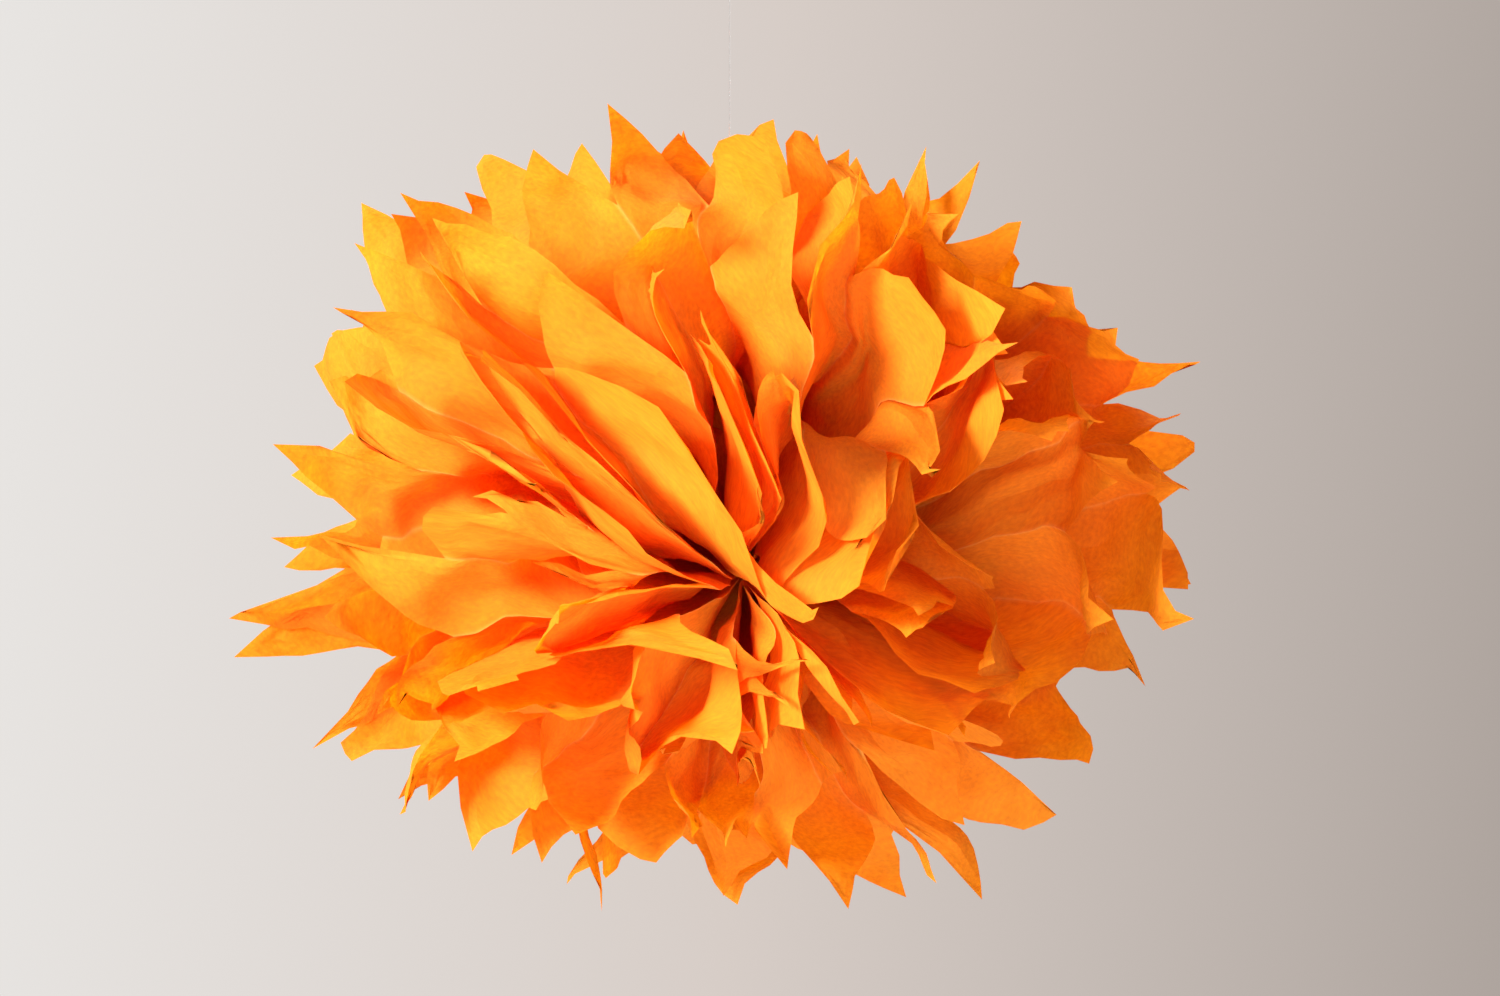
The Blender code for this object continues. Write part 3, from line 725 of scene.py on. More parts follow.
@dataclass(frozen=True)
class Ripples:
    """Smooth random bends that all sheets share, so that they stay clear of each other.

    Attributes:
        seed: Starts the random numbers.
        spans: Lengths of the ripples, from the longest to the shortest.
        heights: Their heights.
        waves: Waves of each length.
        stretch: Least and most share of a wave's length.
        weight: Least and most share of half a wave's height.
        creased_under: Length under which a ripple is creased and not round.
        crease_height: How much more a creased ripple stands out.
        starts: Distances from the tie between which the ripples grow.
        line_clearing: Distance from the line within which its plane is left clear.
        lean: How far the front and back petals lean over.
        lean_span: Distance from the pole axis within which they do.
        lean_starts: Distances from the tie, along that axis, between which they start.
    """

    seed: int = 17
    spans: tuple[float, ...] = (0.16, 0.075, 0.038, 0.018)
    heights: tuple[float, ...] = (0.014, 0.0080, 0.0045, 0.0018)
    waves: int = 8
    stretch: tuple[float, float] = (0.7, 1.2)
    weight: tuple[float, float] = (0.5, 1.0)
    creased_under: float = 0.1
    crease_height: float = 0.9
    starts: tuple[float, float] = (0.03, 0.11)
    line_clearing: float = 0.035
    lean: tuple[float, float, float] = (0.027, 0.0, -0.024)
    lean_span: float = 0.06
    lean_starts: tuple[float, float] = (0.03, 0.15)

    def moved(self, points: np.ndarray) -> np.ndarray:
        """Bend points, and leave the plane of the line clear beside it.

        Args:
            points: Places measured from the tie.

        Returns:
            The places after bending.
        """
        on_line = points * np.array([0.0, 0.0, 1.0])
        shift = self.shift(points)
        beside = np.exp(-(points[..., 0] ** 2 + points[..., 1] ** 2) / (2 * self.line_clearing**2))
        shift[..., 1] -= self.shift(on_line)[..., 1] * beside
        return points + shift

    def shift(self, points: np.ndarray) -> np.ndarray:
        """Work out how far points are moved: more the further out they are.

        Args:
            points: Places measured from the tie.

        Returns:
            The move of each point.
        """
        draw = np.random.default_rng(self.seed)
        shift = np.zeros_like(points)
        for span, height in zip(self.spans, self.heights):
            for _ in range(self.waves):
                ways = unit(draw.normal(size=3)) * 2 * math.pi / span * draw.uniform(*self.stretch)
                push = unit(draw.normal(size=3)) * height * draw.uniform(*self.weight) / 2
                wave = np.sin(points @ ways + draw.uniform(0, 2 * math.pi))
                if span < self.creased_under:
                    wave = np.arcsin(wave) * 2 / math.pi * self.crease_height
                shift += wave[..., None] * push
        length = np.linalg.norm(points, axis=-1)
        beside = np.exp(-(points[..., 0] ** 2 + points[..., 2] ** 2) / (2 * self.lean_span**2))
        leaned = beside * eased(np.abs(points[..., 1]), *self.lean_starts)
        return shift * eased(length, *self.starts)[..., None] + leaned[..., None] * np.array(self.lean)


@dataclass(frozen=True)
class TipCut:
    """How the ends of the strip are trimmed to points.

    Attributes:
        aside: Least and most that the points of a fan stand off the middle of their pleats.
        scatter: Scatter of that.
        furthest: Where the points' place on a pleat starts and ends.
        hollow: Least and most power of the sides' curve: 1 is straight, less is hollow.
        blunt: Share of the points that are blunt.
        blunted: Least and most share of the depth that a blunt point lacks.
        uneven: Scatter of the points' length.
        seed: Starts the random numbers.
    """

    aside: tuple[float, float] = (0.05, 0.17)
    scatter: float = 0.03
    furthest: tuple[float, float] = (0.25, 0.75)
    hollow: tuple[float, float] = (0.66, 1.02)
    blunt: float = 0.12
    blunted: tuple[float, float] = (0.15, 0.4)
    uneven: float = 0.035
    seed: int = 1000


@dataclass
class TissueSheet:
    """One folded sheet of tissue.

    Attributes:
        layout: Where all sheets lie.
        ripples: The bends that all sheets share.
        number: The sheet's place from front to back, from 0.
        material: Its finish.
        tips: How its ends are trimmed.
    """

    layout: Layout
    ripples: Ripples
    number: int
    material: bpy.types.Material
    tips: TipCut = TipCut()

    @property
    def node(self) -> str:
        """Name the CAD node that this sheet replaces.

        Returns:
            The node's name, counted from the nearer pole.
        """
        half = self.layout.form.sheets // 2
        if self.number < half:
            return f"tissue_sheet_front_{self.number + 1}"
        return f"tissue_sheet_back_{self.layout.form.sheets - self.number}"

    def tip_lengths(self, side: int) -> np.ndarray:
        """Draw how far each column reaches.

        Args:
            side: 0 for the right fan and 1 for the left one.

        Returns:
            The reach of each column, as a share of the way to the longest tip.
        """
        cut, tips = self.layout.cut, self.tips
        draw = np.random.default_rng(tips.seed + 2 * self.number + side)
        columns = np.arange(cut.pleats * cut.columns + 1)
        pleat = np.minimum(columns // cut.columns, cut.pleats - 1)
        part = columns / cut.columns - pleat
        lean = 0.5 + draw.choice([-1, 1]) * draw.uniform(*tips.aside)
        lean = lean + draw.normal(0, tips.scatter, cut.pleats)
        apex = np.clip(np.where(pleat % 2, lean[pleat], 1 - lean[pleat]), *tips.furthest)
        apex = np.rint(apex * cut.columns) / cut.columns
        slope = np.where(part < apex, (apex - part) / apex, (part - apex) / (1 - apex))
        depth = 1 - cut.notch
        hollow = draw.uniform(*tips.hollow, cut.pleats)
        slope = slope ** hollow[pleat]
        is_blunt = draw.random(cut.pleats) < tips.blunt
        slope = np.maximum(slope, np.where(is_blunt, draw.uniform(*tips.blunted, cut.pleats), 0.0)[pleat])
        longer = draw.normal(0, tips.uneven, cut.pleats)
        return (1 - depth * slope) * (1 + longer[pleat] * (1 - slope))

    def build(self) -> bpy.types.Object:
        """Cut the flat sheet from a grid, fold it and open it.

        Returns:
            The finished sheet.
        """
        cut = self.layout.cut
        across, along = cut.pleats * cut.columns, 2 * cut.rows
        mesh = bmesh.new()
        bmesh.ops.create_grid(mesh, x_segments=across, y_segments=along, size=1.0)
        data = bpy.data.meshes.new(self.node + "_paper")
        mesh.to_mesh(data)
        mesh.free()
        flat = np.empty(len(data.vertices) * 3, np.float32)
        data.vertices.foreach_get("co", flat)
        flat = flat.reshape(-1, 3)
        column = np.rint((flat[:, 0] + 1) / 2 * across).astype(int)
        row = np.rint((flat[:, 1] + 1) / 2 * along).astype(int) - cut.rows
        points = np.zeros((len(flat), 3))
        places = np.zeros((len(flat), 3))
        shape = SheetShape(self.layout, self.number)
        for side in (0, 1):
            mine = row >= 0 if side == 0 else row < 0
            length = self.tip_lengths(side)[column[mine]]
            rows = np.abs(row[mine])
            above = np.maximum(0, rows - cut.even_rows) / (cut.rows - cut.even_rows)
            share = cut.even_share * np.minimum(1, rows / cut.even_rows)
            share = share + (length - cut.even_share) * above
            points[mine] = shape.place(side, share, column[mine])
            places[mine, 1] = (1 - 2 * side) * share * cut.strip_length / 2
        places[:, 0] = column * cut.pleat_width / cut.columns
        places[:, 2] = self.number
        points = self.ripples.moved(points)
        points[:, 2] += self.layout.form.tie_height
        data.vertices.foreach_set("co", points.astype(np.float32).ravel())
        cloth = data.attributes.new("flat_place", "FLOAT_VECTOR", "POINT")
        cloth.data.foreach_set("vector", places.astype(np.float32).ravel())
        ends = np.empty(len(data.edges) * 2, np.int32)
        data.edges.foreach_get("vertices", ends)
        ends = ends.reshape(-1, 2)
        side = (row[ends].sum(axis=1) < 0).astype(int)
        ends = column[ends]
        pleat = np.minimum(ends[:, 0] // cut.columns, cut.pleats - 1)
        at_crease = ends[:, 0] - pleat * cut.columns == self.layout.crease[self.number, side, pleat]
        creased = (ends[:, 0] == ends[:, 1]) & (at_crease | (ends[:, 0] % cut.columns == 0))
        data.shade_smooth()
        sharp = data.attributes.new("sharp_edge", "BOOLEAN", "EDGE")
        sharp.data.foreach_set("value", creased)
        data.materials.append(self.material)
        piece = bpy.data.objects.new(self.node + "_paper", data)
        bpy.context.scene.collection.objects.link(piece)
        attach(piece, BODY)
        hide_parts(self.node)
        area = sum(face.area for face in data.polygons) / cut.flat_area
        LOG.info("%s: %d faces, %.2f of its flat area", piece.name, len(data.polygons), area)
        return piece


class Sockets(Enum):
    """Kinds of socket on a shader node group."""

    VALUE = "NodeSocketFloat"
    COLOUR = "NodeSocketColor"
    VECTOR = "NodeSocketVector"


def shader_group(name: str, inputs: dict[str, Sockets], outputs: dict[str, Sockets]) -> bpy.types.NodeTree:
    """Start a reusable shader node group.

    Args:
        name: Name of the group.
        inputs: Its input sockets and their kinds.
        outputs: Its output sockets and their kinds.

    Returns:
        The group, with its input and output nodes named inputs and outputs.
    """
    group = bpy.data.node_groups.new(name, "ShaderNodeTree")
    for label, kind in inputs.items():
        group.interface.new_socket(label, in_out="INPUT", socket_type=kind.value)
    for label, kind in outputs.items():
        group.interface.new_socket(label, in_out="OUTPUT", socket_type=kind.value)
    group.nodes.new("NodeGroupInput").name = "inputs"
    group.nodes.new("NodeGroupOutput").name = "outputs"
    return group


@dataclass(frozen=True)
class TissueFinish:
    """Thin dyed tissue that lets light through, with cloudy fibres, faint creases and a highlight painted
    along its folds.

    Attributes:
        base: Colour that the face sends back.
        fold_highlight: Painted highlight: the paler, lit colour given to a narrow band along each fold.
        through: Colour of the light that comes through.
        share_through: Share of the light that goes through.
        roughness: Roughness of the face.
        specular: Strength of its gloss.
        ridge: Half of the width of the band along each fold that takes the painted highlight.
        tints: How much the fibres tint the face and the light that comes through.
        noises: Scales of the fine and the broad fibre clouds.
        broad: Share of the broad clouds.
        cloud_range: Noise values that give the palest and the darkest cloud.
        creases: Scale and width of the broad and the fine creases.
        broad_crease: How much higher the broad creases are.
        grain: Height of the fibres beside that of a fine crease.
        bump: Strength and height of the creases and fibres.
    """

    base: tuple[float, float, float] = (1.0, 0.325, 0.021)
    fold_highlight: tuple[float, float, float] = (1.0, 0.44, 0.07)
    through: tuple[float, float, float] = (1.0, 0.215, 0.001)
    share_through: float = 0.55
    roughness: float = 0.7
    specular: float = 0.06
    ridge: float = 0.0011
    tints: tuple[float, float] = (0.08, 0.34)
    noises: tuple[float, float] = (600.0, 75.0)
    broad: float = 0.4
    cloud_range: tuple[float, float] = (0.34, 0.66)
    creases: tuple[tuple[float, float], ...] = ((26.0, 0.16), (58.0, 0.2))
    broad_crease: float = 2.2
    grain: float = 0.22
    bump: tuple[float, float] = (0.22, 0.0007)

    def folds(self, cut: PaperCut) -> bpy.types.NodeTree:
        """Build the group that marks a narrow band along the paper's folds, where a highlight is painted.

        Args:
            cut: The paper, whose pleat width sets the folds apart.

        Returns:
            The group: its output is 1 on a fold and 0 beside it.
        """
        group = shader_group("tissue_folds", {"Place": Sockets.VECTOR}, {"Fold": Sockets.VALUE})
        nodes, links = group.nodes, group.links
        parts = nodes.new("ShaderNodeSeparateXYZ")
        beside = nodes.new("ShaderNodeMath")
        beside.operation = "PINGPONG"
        beside.inputs[1].default_value = cut.pleat_width / 2
        band = nodes.new("ShaderNodeMapRange")
        band.inputs["From Max"].default_value = self.ridge
        band.inputs["To Min"].default_value = 1.0
        band.inputs["To Max"].default_value = 0.0
        links.new(nodes["inputs"].outputs["Place"], parts.inputs["Vector"])
        links.new(parts.outputs["X"], beside.inputs[0])
        links.new(beside.outputs["Value"], band.inputs["Value"])
        links.new(band.outputs["Result"], nodes["outputs"].inputs["Fold"])
        return group

    def fibres(self) -> bpy.types.NodeTree:
        """Build the group that makes the paper's fibres and creases from its flat place.

        Returns:
            The group, with one value for the fibres' cloud and one for the height.
        """
        group = shader_group(
            "tissue_fibres",
            {"Place": Sockets.VECTOR},
            {"Cloud": Sockets.VALUE, "Height": Sockets.VALUE},
        )
        nodes, links = group.nodes, group.links
        place = nodes["inputs"].outputs["Place"]
        out = nodes["outputs"].inputs
        fine = nodes.new("ShaderNodeTexNoise")
        fine.inputs["Scale"].default_value = self.noises[0]
        fine.inputs["Detail"].default_value = 4.0
        fine.inputs["Roughness"].default_value = 0.6
        broad = nodes.new("ShaderNodeTexNoise")
        broad.inputs["Scale"].default_value = self.noises[1]
        broad.inputs["Detail"].default_value = 3.0
        cloud = nodes.new("ShaderNodeMix")
        cloud.inputs["Factor"].default_value = self.broad
        for noise in (fine, broad):
            links.new(place, noise.inputs["Vector"])
        links.new(fine.outputs["Fac"], cloud.inputs["A"])
        links.new(broad.outputs["Fac"], cloud.inputs["B"])
        spread = nodes.new("ShaderNodeMapRange")
        spread.inputs["From Min"].default_value = self.cloud_range[0]
        spread.inputs["From Max"].default_value = self.cloud_range[1]
        links.new(cloud.outputs["Result"], spread.inputs["Value"])
        links.new(spread.outputs["Result"], out["Cloud"])
        heights = []
        for scale, width in self.creases:
            crease = nodes.new("ShaderNodeTexVoronoi")
            crease.feature = "DISTANCE_TO_EDGE"
            crease.voronoi_dimensions = "2D"
            crease.inputs["Scale"].default_value = scale
            ridge = nodes.new("ShaderNodeMapRange")
            ridge.inputs["From Max"].default_value = width
            links.new(place, crease.inputs["Vector"])
            links.new(crease.outputs["Distance"], ridge.inputs["Value"])
            heights.append(ridge.outputs["Result"])
        total = nodes.new("ShaderNodeMath")
        total.operation = "MULTIPLY_ADD"
        total.inputs[1].default_value = self.broad_crease
        links.new(heights[0], total.inputs[0])
        links.new(heights[1], total.inputs[2])
        grain = nodes.new("ShaderNodeMath")
        grain.operation = "MULTIPLY_ADD"
        grain.inputs[1].default_value = self.grain
        links.new(spread.outputs["Result"], grain.inputs[0])
        links.new(total.outputs["Value"], grain.inputs[2])
        links.new(grain.outputs["Value"], out["Height"])
        return group

    def material(
        self, name: str, fibres: bpy.types.NodeTree, folds: bpy.types.NodeTree
    ) -> bpy.types.Material:
        """Build the finish.

        Args:
            name: Name of the material.
            fibres: The group that makes the fibres and creases.
            folds: The group that marks the folds.

        Returns:
            The material.
        """
        material = bpy.data.materials.new(name)
        material.use_nodes = True
        nodes, links = material.node_tree.nodes, material.node_tree.links
        shader = nodes["Principled BSDF"]
        shader.inputs["Roughness"].default_value = self.roughness
        shader.inputs["Specular IOR Level"].default_value = self.specular
        flat = nodes.new("ShaderNodeAttribute")
        flat.attribute_name = "flat_place"
        effect = nodes.new("ShaderNodeGroup")
        effect.node_tree = fibres
        links.new(flat.outputs["Vector"], effect.inputs["Place"])
        glow = nodes.new("ShaderNodeBsdfTranslucent")
        for colour, strength, target in (
            (self.base, self.tints[0], shader.inputs["Base Color"]),
            (self.through, self.tints[1], glow.inputs["Color"]),
        ):
            tint = nodes.new("ShaderNodeMix")
            tint.data_type = "RGBA"
            light = [min(1.0, part * (1 + strength)) for part in colour]
            red, green, blue = colour
            dark = [red * (1 - strength), green * (1 - strength) ** 2, blue * (1 - strength) ** 2]
            tint.inputs["A"].default_value = (*dark, 1)
            tint.inputs["B"].default_value = (*light, 1)
            links.new(effect.outputs["Cloud"], tint.inputs["Factor"])
            links.new(tint.outputs["Result"], target)
        # Painted highlight: a narrow band along each fold takes the paler, lit colour.
        ridges = nodes.new("ShaderNodeGroup")
        ridges.node_tree = folds
        fold_highlight = nodes.new("ShaderNodeMix")
        fold_highlight.data_type = "RGBA"
        fold_highlight.inputs["B"].default_value = (*self.fold_highlight, 1)
        links.new(flat.outputs["Vector"], ridges.inputs["Place"])
        links.new(ridges.outputs["Fold"], fold_highlight.inputs["Factor"])
        links.new(shader.inputs["Base Color"].links[0].from_socket, fold_highlight.inputs["A"])
        links.new(fold_highlight.outputs["Result"], shader.inputs["Base Color"])
        bump = nodes.new("ShaderNodeBump")
        bump.inputs["Strength"].default_value = self.bump[0]
        bump.inputs["Distance"].default_value = self.bump[1]
        links.new(effect.outputs["Height"], bump.inputs["Height"])
        links.new(bump.outputs["Normal"], shader.inputs["Normal"])
        links.new(bump.outputs["Normal"], glow.inputs["Normal"])
        mix = nodes.new("ShaderNodeMixShader")
        mix.inputs["Fac"].default_value = self.share_through
        links.new(shader.outputs["BSDF"], mix.inputs[1])
        links.new(glow.outputs["BSDF"], mix.inputs[2])
        links.new(mix.outputs["Shader"], nodes["Material Output"].inputs["Surface"])
        return material


@dataclass(frozen=True)
class PlainFinish:
    """An even finish.

    Attributes:
        name: Name of the material.
        colour: Its colour.
        roughness: Its roughness.
        metallic: 1 for metal.
        clear: Share of light that passes through.
        bending: How strongly it bends light.
        specular: Strength of its gloss.
    """

    name: str
    colour: tuple[float, float, float]
    roughness: float
    metallic: float = 0.0
    clear: float = 0.0
    bending: float = 1.5
    specular: float = 0.5

    def material(self) -> bpy.types.Material:
        """Build the finish.

        Returns:
            The material, to be shared by all pieces of this finish.
        """
        material = bpy.data.materials.new(self.name)
        material.use_nodes = True
        shader = material.node_tree.nodes["Principled BSDF"]
        shader.inputs["Base Color"].default_value = (*self.colour, 1)
        shader.inputs["Roughness"].default_value = self.roughness
        shader.inputs["Metallic"].default_value = self.metallic
        shader.inputs["Transmission Weight"].default_value = self.clear
        shader.inputs["IOR"].default_value = self.bending
        shader.inputs["Specular IOR Level"].default_value = self.specular
        return material


STEEL = PlainFinish("steel_wire", (0.42, 0.41, 0.40), 0.35, metallic=1.0)
NYLON = PlainFinish("clear_nylon", (0.93, 0.93, 0.93), 0.0, clear=0.97, bending=1.1, specular=0.1)


def spiral(start: float, rise: float, across: Vector, turns: float, steps: int) -> list[Vector]:
    """Points that wind round the Z axis.

    Args:
        start: Height of the first point.
        rise: Height from the first point to the last.
        across: The first point's place beside the axis.
        turns: Number of turns.
        steps: Number of stretches.

    Returns:
        The points.
    """
    other = Vector((-across.y, across.x, 0))
    points = []
    for step in range(steps + 1):
        angle = 2 * math.pi * turns * step / steps
        beside = across * math.cos(angle) + other * math.sin(angle)
        points.append(Vector((0, 0, start + rise * step / steps)) + beside)
    return points


def add_strand(name: str, points: list[Vector], diameter: float, finish: PlainFinish) -> bpy.types.Object:
    """Make one round strand along points.

    Args:
        name: Name of the piece.
        points: The strand's centreline.
        diameter: Its diameter.
        finish: Its finish.

    Returns:
        A curve of one open spline.
    """
    data = bpy.data.curves.new(name, "CURVE")
    data.dimensions = "3D"
    data.bevel_depth = diameter / 2
    data.bevel_resolution = 3
    data.use_fill_caps = True
    line = data.splines.new("POLY")
    line.points.add(len(points) - 1)
    for target, point in zip(line.points, points):
        target.co = (*point, 1)
    data.materials.append(finish.material())
    piece = bpy.data.objects.new(name, data)
    bpy.context.scene.collection.objects.link(piece)
    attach(piece, BODY)
    return piece


@dataclass
class Binding:
    """The wire round the sheets and the line that they hang on.

    Attributes:
        form: The ball that they hold.
        wire: Diameter of the wire.
        line: Diameter of the line.
        gap: Distance from piece to piece.
        tail: Length of the wire's twisted ends.
        rise: Height from the wire to the top of the line's loop.
        loop: Width and height of the loop.
        knot: Length of each knot.
        turns: Turns of each knot and of the twisted ends.
        wound: Gap between two strands that are wound round each other.
        ring_turn: Angle that the wire turns through round the sheets, in degrees.
        hitch_turn: Angle that the line turns through round the wire, in degrees.
        knot_lap: How far a knot laps over the strand's bend.
        foot: Length by which the straight line ends short of each knot's start.
        steps: Stretches in a knot, the wire's ring, the hitch, the straight line and the loop.
    """

    form: BallForm
    wire: float = 0.0012
    line: float = 0.0005
    gap: float = 0.0003
    tail: float = 0.014
    rise: float = 0.242
    loop: tuple[float, float] = (0.008, 0.020)
    knot: float = 0.003
    turns: float = 2.5
    wound: float = 0.0001
    ring_turn: float = 336.0
    hitch_turn: float = 304.0
    knot_lap: float = 0.0012
    foot: tuple[float, float] = (0.0008, 0.001)
    steps: tuple[int, int, int, int, int] = (36, 66, 24, 18, 33)

    @property
    def ring(self) -> float:
        """Radius of the wire's ring, at its middle."""
        return self.form.neck_radius + self.gap + self.wire / 2

    @property
    def hitch(self) -> float:
        """Radius of the line's hitch round the wire, at its middle."""
        return self.wire / 2 + self.gap + self.line / 2

    def wire_route(self) -> list[Vector]:
        """Lead the wire from one twisted end round the sheets to the other.

        Returns:
            The places that the wire's middle line goes through.
        """
        knot, ring = self.steps[:2]
        apart = Vector((0, self.wire / 2 + self.wound, 0))
        start = -self.ring - 0.6 * self.wire
        ends = [spiral(start, -self.tail, side * apart, self.turns, knot) for side in (-1, 1)]
        around = []
        for step in range(ring + 1):
            angle = math.radians(-270 + self.ring_turn / 2 - self.ring_turn * step / ring)
            around.append(Vector((0, self.ring * math.cos(angle), self.ring * math.sin(angle))))
        return ends[0][::-1] + around + ends[1]

    def line_route(self) -> list[Vector]:
        """Lead the line from its lower knot round the wire and up to the loop and its knot.

        Returns:
            The places that the line's middle line goes through.
        """
        knot, _, hitch, straight, loop = self.steps
        wound = Vector((self.line + self.wound, 0, 0))
        top = self.ring + self.hitch
        foot = top + self.rise - self.loop[1]
        points = spiral(top + self.knot_lap, self.knot, wound, self.turns, knot)[::-1]
        for step in range(hitch + 1):
            angle = math.radians(-90 + self.hitch_turn / 2 - self.hitch_turn * step / hitch)
            beside = self.hitch * math.cos(angle)
            points.append(Vector((beside, 0, self.ring + self.hitch * math.sin(angle))))
        low, high = top + self.foot[0], foot - self.foot[1]
        points += [Vector((0, 0, low + (high - low) * step / straight)) for step in range(straight + 1)]
        for step in range(loop):
            share = (step + 0.5) / loop
            side = -self.loop[0] / 2 * math.sin(2 * math.pi * share)
            points.append(Vector((side, 0, foot + self.loop[1] * math.sin(math.pi * share))))
        return points + spiral(foot - self.knot_lap, -self.knot, wound, self.turns, knot)

    def build(self) -> None:
        """Make the wire and the line in place of their plain solids."""
        tie = Vector((0, 0, self.form.tie_height))
        wire = add_strand("tie_wire_round", [tie + point for point in self.wire_route()], self.wire, STEEL)
        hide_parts("tie_wire")
        route = [tie + point for point in self.line_route()]
        line = add_strand("hanging_line_clear", route, self.line, NYLON)
        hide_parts("hanging_line")


@dataclass(frozen=True)
class Lamp:
    """One square soft lamp.

    Attributes:
        name: Its name.
        place: Its place, measured from the tie.
        size: Length of its side.
        power: Its power in watts.
    """

    name: str
    place: tuple[float, float, float]
    size: float
    power: float

    def hang(self, target: Vector) -> None:
        """Put the lamp up and aim it at a point.

        Args:
            target: The point, from which the lamp's place is measured too.
        """
        data = bpy.data.lights.new(self.name, "AREA")
        data.size = self.size
        data.energy = self.power
        light = bpy.data.objects.new(self.name, data)
        light.location = target + Vector(self.place)
        light.rotation_euler = (-Vector(self.place)).to_track_quat("-Z", "Y").to_euler()
        bpy.context.scene.collection.objects.link(light)


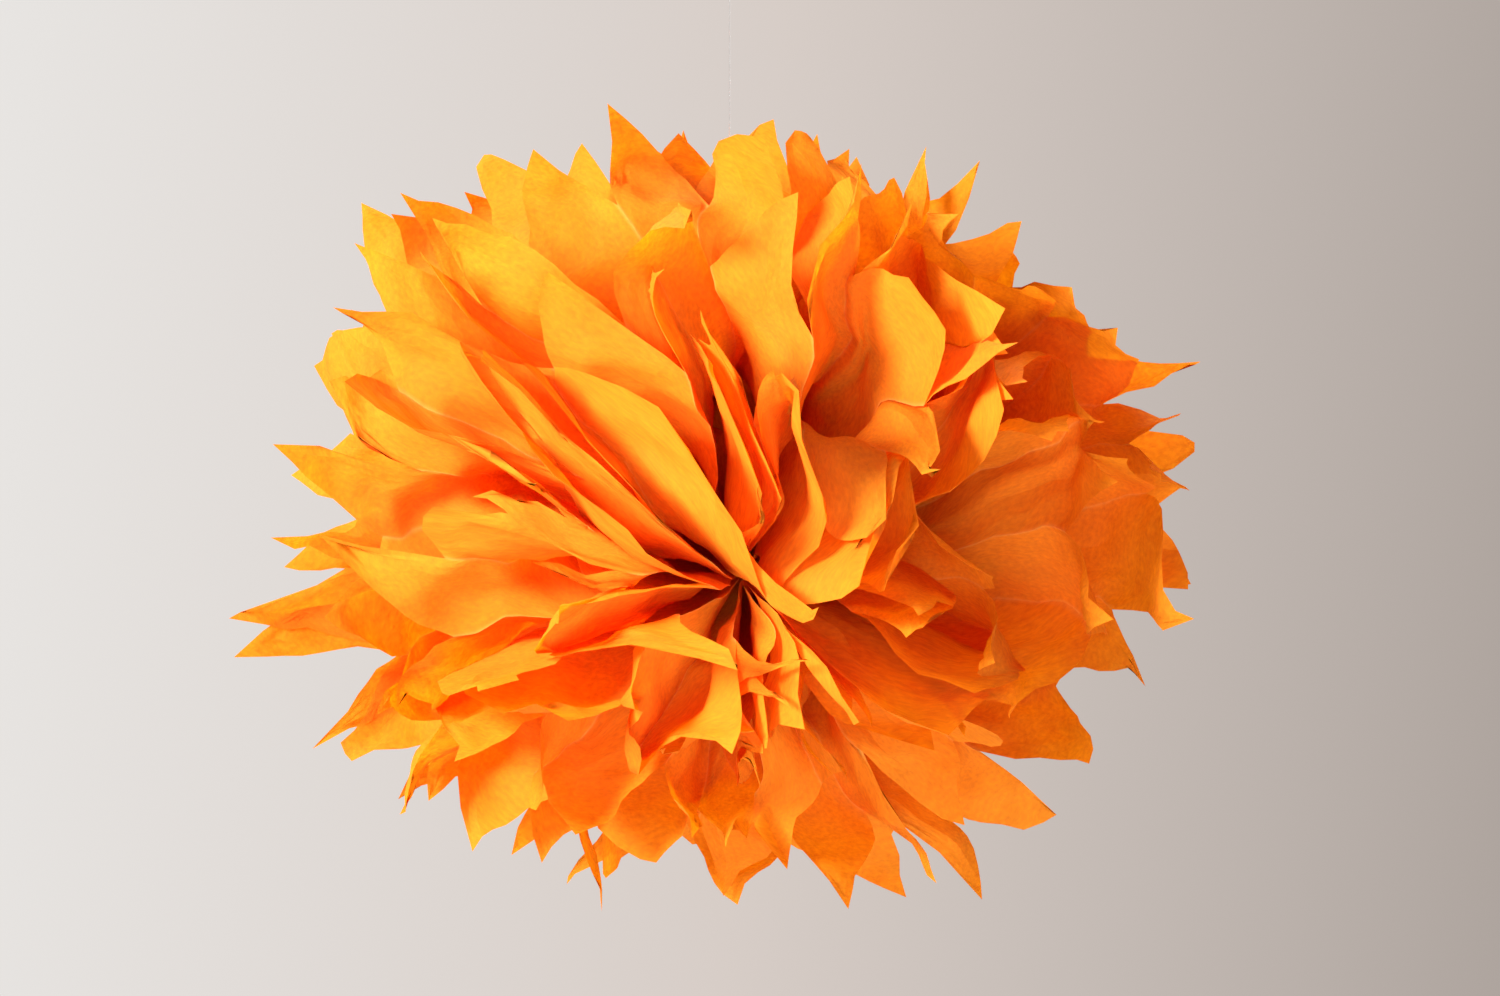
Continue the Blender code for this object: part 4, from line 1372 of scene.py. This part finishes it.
@dataclass
class Studio:
    """The floor, the lights, the surroundings and the camera.

    Attributes:
        tie: The ball's middle, which the lamps and the camera aim at.
        lamps: The lamps: a key from the upper left, a broad fill and one behind.
        floor_radius: Radius of the floor.
        floor_depth: Depth of the floor below the tie.
        floor_colour: Colour of the floor.
        floor_roughness: Its roughness.
        light: Colour of the surroundings' light.
        light_strength: Strength of that light.
        sides: Colours seen behind the ball, from left to right: a painted light falloff, lighter at the
            left and darker at the right.
        across: Direction in which those colours run.
        span: Where along it the first and the last colour lie.
        pixel: Width of one pixel of the photograph at the tie.
        photo: Size of the photograph in pixels.
        tie_pixel: Place of the tie in the photograph.
        distance: Distance from the camera to the tie.
        rise: Angle by which the camera stands above the tie, in degrees.
        sensor: Width of the camera's sensor, in millimetres.
        clip: Nearest and furthest distance that the camera sees.
        bounces: Bounces of light from surfaces and through them.
    """

    tie: Vector
    lamps: tuple[Lamp, ...] = (
        Lamp("key", (-1.5, -0.9, 0.8), 0.7, 112.0),
        Lamp("fill", (0.1, -1.6, -0.7), 1.6, 40.0),
        Lamp("back", (-0.5, 1.4, 1.5), 1.4, 44.0),
    )
    floor_radius: float = 3.0
    floor_depth: float = 1.6
    floor_colour: tuple[float, float, float] = (0.72, 0.70, 0.69)
    floor_roughness: float = 0.8
    light: tuple[float, float, float] = (0.80, 0.79, 0.80)
    light_strength: float = 0.55
    sides: tuple[tuple[float, float, float], ...] = (
        (0.81, 0.79, 0.77),
        (0.68, 0.61, 0.57),
        (0.41, 0.36, 0.33),
    )
    across: tuple[float, float, float] = (0.98, 0.0, -0.06)
    span: tuple[float, float] = (-0.18, 0.20)
    pixel: float = 0.000386
    photo: tuple[int, int] = (1500, 996)
    tie_pixel: tuple[int, int] = (730, 516)
    distance: float = 1.6
    rise: float = 9.5
    sensor: float = 36.0
    clip: tuple[float, float] = (0.05, 30.0)
    bounces: tuple[int, int] = (5, 6)

    def build(self) -> None:
        """Set up the studio."""
        self.floor()
        for lamp in self.lamps:
            lamp.hang(self.tie)
        self.world()
        self.camera()
        scene = bpy.context.scene
        scene.view_settings.view_transform = "Standard"
        scene.cycles.diffuse_bounces, scene.cycles.transmission_bounces = self.bounces

    def floor(self) -> None:
        """A plain pale floor well below the pom pom."""
        mesh = bmesh.new()
        bmesh.ops.create_circle(mesh, cap_ends=True, segments=96, radius=self.floor_radius)
        bmesh.ops.translate(mesh, verts=mesh.verts[:], vec=(0, 0, self.tie.z - self.floor_depth))
        data = bpy.data.meshes.new("floor")
        mesh.to_mesh(data)
        mesh.free()
        data.materials.append(PlainFinish("floor", self.floor_colour, self.floor_roughness).material())
        floor = bpy.data.objects.new("floor", data)
        bpy.context.scene.collection.objects.link(floor)

    def world(self) -> None:
        """Pale surroundings with a painted light falloff, lighter at the left and darker at the right where
        the camera sees them.
        """
        world = bpy.data.worlds.new("studio")
        bpy.context.scene.world = world
        world.use_nodes = True
        nodes, links = world.node_tree.nodes, world.node_tree.links
        background = nodes["Background"]
        background.inputs["Color"].default_value = (*self.light, 1)
        background.inputs["Strength"].default_value = self.light_strength
        coordinate = nodes.new("ShaderNodeTexCoord")
        along = nodes.new("ShaderNodeVectorMath")
        along.operation = "DOT_PRODUCT"
        along.inputs[1].default_value = self.across
        scale = nodes.new("ShaderNodeMapRange")
        scale.inputs["From Min"].default_value = self.span[0]
        scale.inputs["From Max"].default_value = self.span[1]
        # Painted light falloff seen behind the ball: pale at the left, darker at the right.
        ramp = nodes.new("ShaderNodeValToRGB")
        left, middle, right = self.sides
        ramp.color_ramp.elements[0].color = (*left, 1)
        ramp.color_ramp.elements[1].color = (*right, 1)
        ramp.color_ramp.elements.new(0.5).color = (*middle, 1)
        seen = nodes.new("ShaderNodeBackground")
        path = nodes.new("ShaderNodeLightPath")
        through = nodes.new("ShaderNodeMath")
        shown = nodes.new("ShaderNodeMath")
        shown.use_clamp = True
        mix = nodes.new("ShaderNodeMixShader")
        links.new(path.outputs["Is Glossy Ray"], through.inputs[0])
        links.new(path.outputs["Is Transmission Ray"], through.inputs[1])
        links.new(path.outputs["Is Camera Ray"], shown.inputs[0])
        links.new(through.outputs["Value"], shown.inputs[1])
        links.new(coordinate.outputs["Generated"], along.inputs[0])
        links.new(along.outputs["Value"], scale.inputs["Value"])
        links.new(scale.outputs["Result"], ramp.inputs["Fac"])
        links.new(ramp.outputs["Color"], seen.inputs["Color"])
        links.new(shown.outputs["Value"], mix.inputs["Fac"])
        links.new(background.outputs["Background"], mix.inputs[1])
        links.new(seen.outputs["Background"], mix.inputs[2])
        links.new(mix.outputs["Shader"], nodes["World Output"].inputs["Surface"])

    def camera(self) -> None:
        """A camera in front and a little above, as the photograph was taken."""
        data = bpy.data.cameras.new("camera")
        data.sensor_width = self.sensor
        data.lens = self.sensor * self.distance / (self.pixel * self.photo[0])
        data.clip_start, data.clip_end = self.clip
        camera = bpy.data.objects.new("camera", data)
        rise = math.radians(self.rise)
        back = Vector((0, -math.cos(rise), math.sin(rise)))
        camera.rotation_euler = back.to_track_quat("Z", "Y").to_euler()
        right = (self.photo[0] / 2 - self.tie_pixel[0]) * self.pixel
        up = (self.tie_pixel[1] - self.photo[1] / 2) * self.pixel
        shift = camera.rotation_euler.to_matrix() @ Vector((right, up, 0))
        camera.location = self.tie + back * self.distance + shift
        bpy.context.scene.collection.objects.link(camera)
        bpy.context.scene.camera = camera


def main() -> None:
    """Build the pom pom and its studio, in order."""
    logging.basicConfig(level=logging.INFO, format="%(message)s")
    cut, form = PaperCut(), BallForm()
    layout = Layout(cut, form)
    finish = TissueFinish()
    tissue = finish.material("orange_tissue", finish.fibres(), finish.folds(cut))
    Binding(form).build()
    for number in range(form.sheets):
        TissueSheet(layout, Ripples(), number, tissue).build()
    Studio(Vector((0, 0, form.tie_height))).build()
    LOG.info("studio: floor, lamps, surroundings and camera")


if __name__ == "__main__":
    main()
